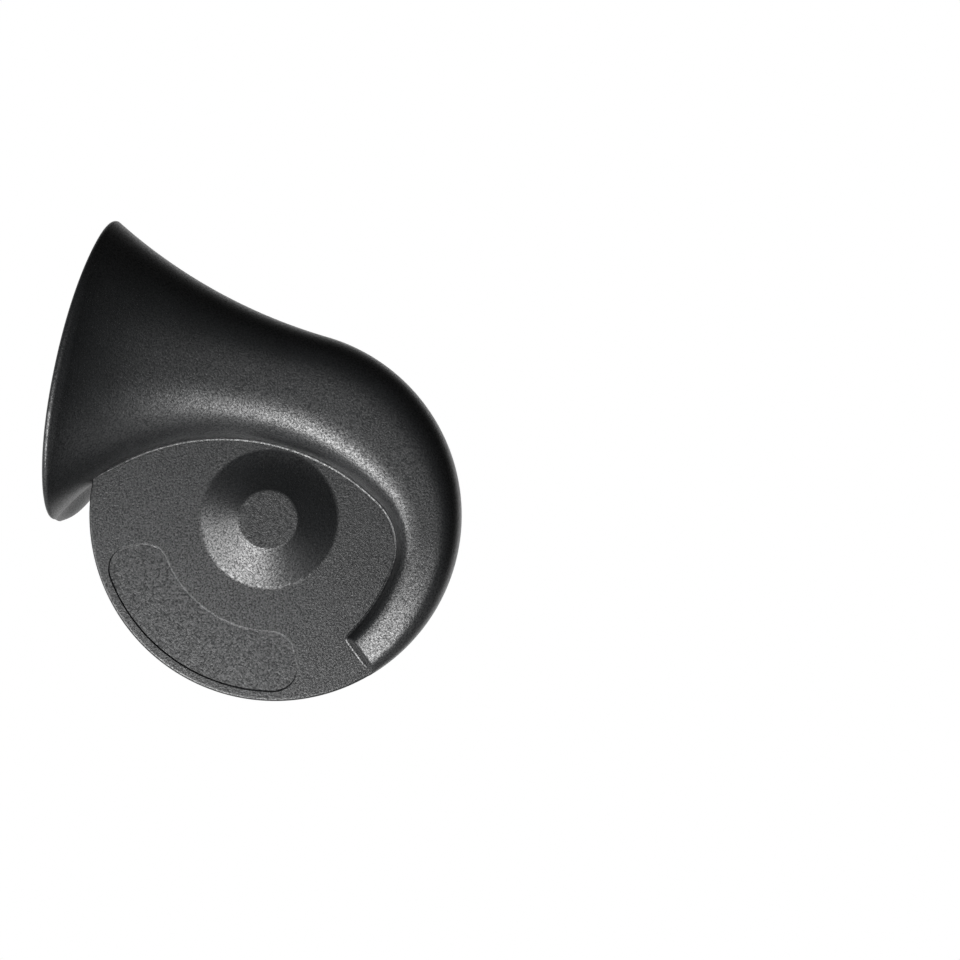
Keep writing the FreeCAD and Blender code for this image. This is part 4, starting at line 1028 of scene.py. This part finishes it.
def case_enamel(colours):
    """Baked black enamel on pressed steel: smooth and glossier than the plastic, with the
    slight orange peel of a dipped coat."""
    material, put, inputs, place = begin("case_enamel", IOR=1.5, Coat_Weight=0.35,
                                         Coat_Roughness=0.12)
    # orange peel with humps about 1.5 mm apart
    peel = put("TexNoise", {"Vector": place, "Scale": 650.0, "Detail": 1.0})
    dust = put("TexNoise", {"Vector": place, "Scale": 90.0, "Detail": 4.0})
    put("Mix", {0: dust, 6: colours.enamel, 7: shaded(colours.enamel, 1.5)},
        inputs["Base Color"], data_type="RGBA")
    put("MapRange", {"Value": dust, "To Min": 0.26, "To Max": 0.42}, inputs["Roughness"])
    put("Bump", {"Height": peel, "Distance": 0.00003, "Strength": 0.6}, inputs["Normal"])
    return material


def zinc_plate(colours):
    """Steel, zinc plated and clear passivated: a pale metal with a faint blue and straw bloom
    and the rolled sheet's fine streaks under it."""
    material, put, inputs, place = begin("zinc_plate", Metallic=1.0)
    bloom = put("TexNoise", {"Vector": place, "Scale": 110.0, "Detail": 3.0})
    put("Mix", {0: bloom, 6: shaded(colours.zinc, (0.86, 0.95, 1.08)),
                7: shaded(colours.zinc, (1.05, 1.0, 0.86))},
        inputs["Base Color"], data_type="RGBA")
    # rolling streaks 0.3 mm wide and 10 mm long, along the strip
    long = put("Mapping", {"Vector": place, "Scale": (3000.0, 3000.0, 100.0)})
    streak = put("TexNoise", {"Vector": long, "Scale": 1.0, "Detail": 2.0})
    put("MapRange", {"Value": streak, "To Min": 0.24, "To Max": 0.46}, inputs["Roughness"])
    put("Bump", {"Height": streak, "Distance": 0.00001, "Strength": 0.5}, inputs["Normal"])
    return material


def spring_steel(colours):
    """Hardened and tempered spring steel, oiled black: a dark metal with brownish patches."""
    material, put, inputs, place = begin("spring_steel", Metallic=1.0)
    patch = put("TexNoise", {"Vector": place, "Scale": 260.0, "Detail": 4.0})
    put("Mix", {0: patch, 6: colours.spring, 7: shaded(colours.spring, (0.62, 0.58, 0.56))},
        inputs["Base Color"], data_type="RGBA")
    put("MapRange", {"Value": patch, "To Min": 0.3, "To Max": 0.5}, inputs["Roughness"])
    put("Bump", {"Height": patch, "Distance": 0.00001, "Strength": 0.6}, inputs["Normal"])
    return material


def cold_rolled(colours):
    """Cold-rolled spring sheet for the diaphragm: bright, with a satin grain one way."""
    material, put, inputs, place = begin("cold_rolled", Metallic=1.0)
    # rolling grain 0.25 mm wide and 15 mm long
    long = put("Mapping", {"Vector": place, "Scale": (70.0, 4000.0, 4000.0)})
    grain = put("TexNoise", {"Vector": long, "Scale": 1.0, "Detail": 2.0})
    put("Mix", {0: grain, 6: shaded(colours.zinc, 0.75), 7: colours.zinc},
        inputs["Base Color"], data_type="RGBA")
    put("MapRange", {"Value": grain, "To Min": 0.22, "To Max": 0.4}, inputs["Roughness"])
    return material


def rolled_brass(colours):
    """Half-hard brass strip: warm and bright, with drawn streaks and a light tarnish."""
    material, put, inputs, place = begin("rolled_brass", Metallic=1.0)
    # die streaks 0.2 mm wide, along the blade
    long = put("Mapping", {"Vector": place, "Scale": (5000.0, 150.0, 5000.0)})
    streak = put("TexNoise", {"Vector": long, "Scale": 1.0, "Detail": 2.0})
    stain = put("TexNoise", {"Vector": place, "Scale": 200.0, "Detail": 4.0})
    share = put("MapRange", {"Value": stain, "From Min": 0.45, "From Max": 0.75})
    put("Mix", {0: share, 6: colours.brass, 7: shaded(colours.brass, (0.7, 0.6, 0.5))},
        inputs["Base Color"], data_type="RGBA")
    put("MapRange", {"Value": streak, "To Min": 0.18, "To Max": 0.38}, inputs["Roughness"])
    put("Bump", {"Height": streak, "Distance": 0.000008, "Strength": 0.5}, inputs["Normal"])
    return material


def phenolic_laminate(colours):
    """Phenolic resin over paper, pressed: dark brown, mottled by its fibres, a dull gloss."""
    material, put, inputs, place = begin("phenolic_laminate", IOR=1.58)
    # fibres about 0.3 mm wide and 3 mm long
    long = put("Mapping", {"Vector": place, "Scale": (3200.0, 900.0, 350.0)})
    fibre = put("TexNoise", {"Vector": long, "Scale": 1.0, "Detail": 4.0})
    put("Mix", {0: fibre, 6: colours.laminate, 7: shaded(colours.laminate, 2.0)},
        inputs["Base Color"], data_type="RGBA")
    put("MapRange", {"Value": fibre, "To Min": 0.38, "To Max": 0.6}, inputs["Roughness"])
    put("Bump", {"Height": fibre, "Distance": 0.00002, "Strength": 0.5}, inputs["Normal"])
    return material


def gasket_board(colours):
    """Pressed fibre gasket: matt, felted, with short pale fibres."""
    material, put, inputs, place = begin("gasket_board", Roughness=0.92)
    felt = put("TexNoise", {"Vector": place, "Scale": 1500.0, "Detail": 5.0, "Distortion": 1.5})
    put("Mix", {0: felt, 6: shaded(colours.fibre, 0.5), 7: colours.fibre},
        inputs["Base Color"], data_type="RGBA")
    put("Bump", {"Height": felt, "Distance": 0.00006, "Strength": 0.8}, inputs["Normal"])
    return material


def natural_nylon(colours):
    """Natural nylon 66, moulded: creamy, slightly translucent, a soft sheen with flow marks."""
    material, put, inputs, place = begin("natural_nylon", IOR=1.53, Subsurface_Weight=0.15,
                                         Subsurface_Scale=0.001)
    flow = put("TexNoise", {"Vector": place, "Scale": 150.0, "Detail": 3.0, "Distortion": 2.0})
    put("Mix", {0: flow, 6: colours.nylon, 7: shaded(colours.nylon, (0.9, 0.84, 0.7))},
        inputs["Base Color"], data_type="RGBA")
    put("MapRange", {"Value": flow, "To Min": 0.34, "To Max": 0.5}, inputs["Roughness"])
    return material


def enamelled_wire(colours):
    """Copper magnet wire in close turns: glossy red-brown ridges, with painted shade darkening the
    gaps between them.
    """
    material, put, inputs, place = begin("enamelled_wire", Metallic=0.85, Coat_Weight=0.6,
                                         Coat_Roughness=0.08, Roughness=0.3)
    # turns of 0.45 mm wire along the coil's axis; the wave texture has 20 / (2 pi) bands a unit
    bands = 2 * math.pi / (20 * 0.00045)
    turns = put("TexWave", {"Vector": place, "Scale": bands, "Distortion": 0.0},
                bands_direction="Y").outputs["Fac"]
    # the colour falls to a quarter in the troughs between turns: painted shade in the grooves
    put("Mix", {0: turns, 6: shaded(colours.copper, 0.25), 7: colours.copper},
        inputs["Base Color"], data_type="RGBA")
    put("Bump", {"Height": turns, "Distance": 0.00012}, inputs["Normal"])
    return material


def sintered_tungsten(colours):
    """Tungsten contact, sintered and ground: a grey metal with fine pits."""
    material, put, inputs, place = begin("sintered_tungsten", Metallic=1.0)
    pits = put("TexNoise", {"Vector": place, "Scale": 4000.0, "Detail": 2.0})
    put("Mix", {0: pits, 6: shaded(colours.tungsten, 0.6), 7: colours.tungsten},
        inputs["Base Color"], data_type="RGBA")
    put("MapRange", {"Value": pits, "To Min": 0.25, "To Max": 0.45}, inputs["Roughness"])
    put("Bump", {"Height": pits, "Distance": 0.00001, "Strength": 0.6}, inputs["Normal"])
    return material


def finish(make, colours):
    """A material made once and shared by every piece of that finish."""
    return bpy.data.materials.get(make.__name__) or make(colours)


def settle(piece, make, slot, *nodes):
    """Gives a piece its material, fixes it to the horn's body and hides the solids it stands for."""
    piece.data.materials.append(finish(make, bpy.context.scene.horn_colours))
    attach(piece, "horn_body")
    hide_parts(*nodes)


# Operators

class HORN_OT_front(bpy.types.Operator):
    """Build the trumpet's front moulding: disc, boss, pad, ridge and the bell's front half"""

    bl_idname = "horn.front"
    bl_label = "Trumpet Front"

    def execute(self, context):
        settle(build_front(context.scene.horn_sizes), moulded_abs, "black_abs",
               "trumpet_front_shell")
        return {"FINISHED"}


class HORN_OT_rear(bpy.types.Operator):
    """Build the trumpet's rear moulding: plate, driver seat and the bell's rear half"""

    bl_idname = "horn.rear"
    bl_label = "Trumpet Rear"

    def execute(self, context):
        settle(build_rear(context.scene.horn_sizes), moulded_abs, "black_abs",
               "trumpet_rear_shell")
        return {"FINISHED"}


class HORN_OT_case(bpy.types.Operator):
    """Build the driver's pressed case"""

    bl_idname = "horn.case"
    bl_label = "Driver Case"

    def execute(self, context):
        settle(build_case(context.scene.horn_sizes), case_enamel, "case_paint", "driver_case")
        return {"FINISHED"}


class HORN_OT_fixings(bpy.types.Operator):
    """Build the core's stud, the split washer and the hexagon nut"""

    bl_idname = "horn.fixings"
    bl_label = "Stud, Washer and Nut"

    def execute(self, context):
        sizes = context.scene.horn_sizes
        settle(build_stud(sizes), zinc_plate, "zinc_steel", "pole_core")
        settle(build_washer(), spring_steel, "spring_steel", "spring_washer")
        nut = build_nut("hexagon_nut", flats=13 * MM, low=34.5 * MM, high=41 * MM,
                        bore=4.05 * MM)
        settle(nut, zinc_plate, "zinc_steel", "mounting_nut")
        return {"FINISHED"}


class HORN_OT_bracket(bpy.types.Operator):
    """Build the joggled mounting bracket"""

    bl_idname = "horn.bracket"
    bl_label = "Mounting Bracket"

    def execute(self, context):
        settle(build_bracket(context.scene.horn_sizes), zinc_plate, "zinc_steel",
               "mounting_bracket")
        return {"FINISHED"}


class HORN_OT_terminals(bpy.types.Operator):
    """Build the terminal block with its rivet and its two blades"""

    bl_idname = "horn.terminals"
    bl_label = "Terminals"

    def execute(self, context):
        settle(build_terminal_block(), phenolic_laminate, "phenolic", "terminal_base")
        for side, x in (("left", -4.5 * MM), ("right", 4.5 * MM)):
            settle(build_blade("blade_" + side, x), rolled_brass, "brass",
                   "terminal_blade_" + side)
        rivet = build_rivet("block_rivet", TERMINAL, low=15.2 * MM, seat_low=16 * MM,
                            seat_high=26 * MM, high=26.8 * MM, shank=1.5 * MM, head=2.7 * MM)
        settle(rivet, zinc_plate, "zinc_steel", "terminal_rivet")
        return {"FINISHED"}


class HORN_OT_adjuster(bpy.types.Operator):
    """Build the contact breaker's rivets, its adjusting screw and the locknut"""

    bl_idname = "horn.adjuster"
    bl_label = "Rivets and Adjuster"

    def execute(self, context):
        for side, x in (("left", -5.8 * MM), ("right", 5.8 * MM)):
            rivet = build_rivet("stack_rivet_" + side, (x, -29.2 * MM), low=11.4 * MM,
                                seat_low=12 * MM, seat_high=17 * MM, high=17.6 * MM,
                                shank=1.2 * MM, head=2 * MM)
            settle(rivet, rolled_brass, "brass", "contact_rivet_" + side)
        settle(build_adjuster(), zinc_plate, "zinc_steel", "adjusting_screw")
        nut = build_nut("small_nut", flats=5.5 * MM, low=17 * MM, high=19.4 * MM,
                        bore=1.8 * MM, spot=ADJUSTER)
        settle(nut, zinc_plate, "zinc_steel", "adjuster_locknut")
        return {"FINISHED"}


INNER_FINISHES = {
    gasket_board: ("front_gasket", "rear_gasket"),
    cold_rolled: ("diaphragm",),
    zinc_plate: ("armature", "clamp_washer", "fixed_contact_strip"),
    natural_nylon: ("coil_bobbin",),
    enamelled_wire: ("coil_winding",),
    phenolic_laminate: ("rear_insulator", "front_insulator"),
    spring_steel: ("contact_arm",),
    sintered_tungsten: ("fixed_contact_point", "moving_contact_point"),
}


class HORN_OT_inner(bpy.types.Operator):
    """Give the driver's inner solids their materials"""

    bl_idname = "horn.inner"
    bl_label = "Inner Parts"

    def execute(self, context):
        for make, names in INNER_FINISHES.items():
            for name in names:
                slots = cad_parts[name].data.materials
                slots.clear()
                slots.append(finish(make, context.scene.horn_colours))
        return {"FINISHED"}


# Stage

BRIGHT_SIDE = (-0.45, 0.75, -0.48)
FLOOR_MIDDLE = -0.04
LAMP_AIM = Vector((0.0, -0.05, -0.03))
VIEW_FROM = (0.0499, -0.8505, -0.0247)

# Each lamp's direction from the horn, its distance and its width in metres
LAMPS = {
    "key": ((-0.32, -0.75, -0.58), 0.55, 0.26),
    "side": ((-0.75, -0.60, -0.25), 0.55, 0.25),
    "front": ((-0.15, -0.90, -0.38), 0.60, 0.25),
    "fill": ((0.05, -1.00, 0.03), 1.00, 0.60),
}


def studio_floor():
    """Plain pale board, painted: matt, with the faintest unevenness, white to the camera."""
    material, put, inputs, place = begin("studio_floor", Roughness=0.9,
                                         Emission_Color=(1.0, 1.0, 1.0, 1.0))
    path = put("LightPath").outputs
    shown = put("Math", {0: path["Is Camera Ray"], 1: path["Is Transmission Ray"]},
                operation="MAXIMUM")
    # a reflection sees it dimmer, as black plastic over it stays black
    dim = put("Math", {0: path["Is Glossy Ray"], 1: 0.2}, operation="MULTIPLY")
    seen = put("Math", {0: shown, 1: dim}, operation="MAXIMUM")
    put("MapRange", {"Value": seen, "To Max": 0.8}, inputs["Emission Strength"])
    even = put("TexNoise", {"Vector": place, "Scale": 40.0, "Detail": 2.0})
    put("Mix", {0: even, 6: linear("E6E6E6"), 7: linear("ECECEC")},
        inputs["Base Color"], data_type="RGBA")
    return material


def studio_world(scene):
    """White behind everything the camera sees, and a dim room that is lighter behind the horn.

    The room's brightness rises with the dot product of a ray and a direction that leads
    back, left and down.  A reflection sees the white board where the board stands.
    """
    world = bpy.data.worlds.new("studio")
    scene.world = world
    world.use_nodes = True
    world.node_tree.nodes.clear()
    put = partial(add, world.node_tree)
    ray = put("TexCoord").outputs["Generated"]
    facing = put("VectorMath", {0: ray, 1: BRIGHT_SIDE}, operation="DOT_PRODUCT")
    glow = put("MapRange", {"Value": facing, "From Max": 0.9, "To Min": 0.04, "To Max": 0.6},
               interpolation_type="SMOOTHSTEP")
    behind = put("VectorMath", {0: ray, 1: (0.0, 1.0, 0.0)}, operation="DOT_PRODUCT")
    board = put("Math", {0: behind, 1: 0.94}, operation="GREATER_THAN")
    path = put("LightPath").outputs
    mirrored = put("Math", {0: path["Is Glossy Ray"], 1: board}, operation="MULTIPLY")
    direct = put("Math", {0: path["Is Camera Ray"], 1: path["Is Transmission Ray"]},
                 operation="MAXIMUM")
    seen = put("Math", {0: direct, 1: mirrored}, operation="MAXIMUM")
    strength = put("Mix", {0: seen, 2: glow, 3: 1.0})
    shade = put("Background", {"Color": (1, 1, 1, 1), "Strength": strength})
    put("OutputWorld", {"Surface": shade})


def lamp(name, way, distance, width, power):
    """A square soft light that faces the horn from a direction and a distance."""
    data = bpy.data.lights.new(name, "AREA")
    data.size = width
    data.energy = power
    thing = bpy.data.objects.new(name, data)
    away = Vector(way).normalized()
    thing.location = LAMP_AIM + distance * away
    thing.rotation_euler = away.to_track_quat("Z", "Y").to_euler()
    thing.visible_camera = False
    bpy.context.scene.collection.objects.link(thing)


class HORN_OT_stage(bpy.types.Operator):
    """Set up the floor, the soft lights, the white surroundings and the camera"""

    bl_idname = "horn.stage"
    bl_label = "Stage"

    def execute(self, context):
        scene = context.scene
        stage = scene.horn_stage
        height = CAD_BOX[0][2] - stage.floor_drop
        turn = np.linspace(0, 2 * np.pi, 96, endpoint=False)
        reach = np.array([0.0, 0.5, 1.0])[:, None] * stage.floor_radius
        rows = np.stack(np.broadcast_arrays(
            reach * np.cos(turn), reach * np.sin(turn) + FLOOR_MIDDLE, height), -1)
        form = Form()
        form.grid(rows - DRIVER, wrap=True)
        floor = form.piece("floor")
        floor.data.materials.append(studio_floor())
        studio_world(scene)
        for name, (way, distance, width) in LAMPS.items():
            lamp(name, way, distance, width, getattr(stage, name + "_power"))
        view = bpy.data.cameras.new("view")
        view.sensor_width = 36
        view.lens = stage.focal
        camera = bpy.data.objects.new("view", view)
        camera.location = VIEW_FROM
        camera.rotation_euler = (math.pi / 2, 0, 0)
        scene.collection.objects.link(camera)
        scene.camera = camera
        scene.view_settings.view_transform = "Standard"
        return {"FINISHED"}


class HORN_PT_panel(bpy.types.Panel):
    """Buttons for the horn's pieces, its sizes, its colours and its stage"""

    bl_label = "Car Horn"
    bl_idname = "HORN_PT_panel"
    bl_space_type = "VIEW_3D"
    bl_region_type = "UI"
    bl_category = "Horn"

    def draw(self, context):
        layout = self.layout
        for operator in OPERATORS:
            layout.operator(operator.bl_idname)
        for group in (context.scene.horn_sizes, context.scene.horn_colours,
                      context.scene.horn_stage):
            box = layout.box()
            for name in group.__annotations__:
                box.prop(group, name)


OPERATORS = (HORN_OT_front, HORN_OT_rear, HORN_OT_case, HORN_OT_fixings, HORN_OT_bracket,
             HORN_OT_terminals, HORN_OT_adjuster, HORN_OT_inner, HORN_OT_stage)
GROUPS = {"horn_sizes": HornSizes, "horn_colours": HornColours, "horn_stage": HornStage}


def register():
    """Registers the classes and hangs the property groups on the scene."""
    for cls in (*GROUPS.values(), *OPERATORS, HORN_PT_panel):
        bpy.utils.register_class(cls)
    for name, group in GROUPS.items():
        setattr(bpy.types.Scene, name, PointerProperty(type=group))


def unregister():
    """Takes the property groups and the classes away again."""
    for name in GROUPS:
        delattr(bpy.types.Scene, name)
    for cls in (HORN_PT_panel, *reversed(OPERATORS), *reversed(GROUPS.values())):
        bpy.utils.unregister_class(cls)


def main():
    """Builds everything through the operators."""
    register()
    for operator in OPERATORS:
        group, name = operator.bl_idname.split(".")
        getattr(getattr(bpy.ops, group), name)()


if __name__ == "__main__":
    main()
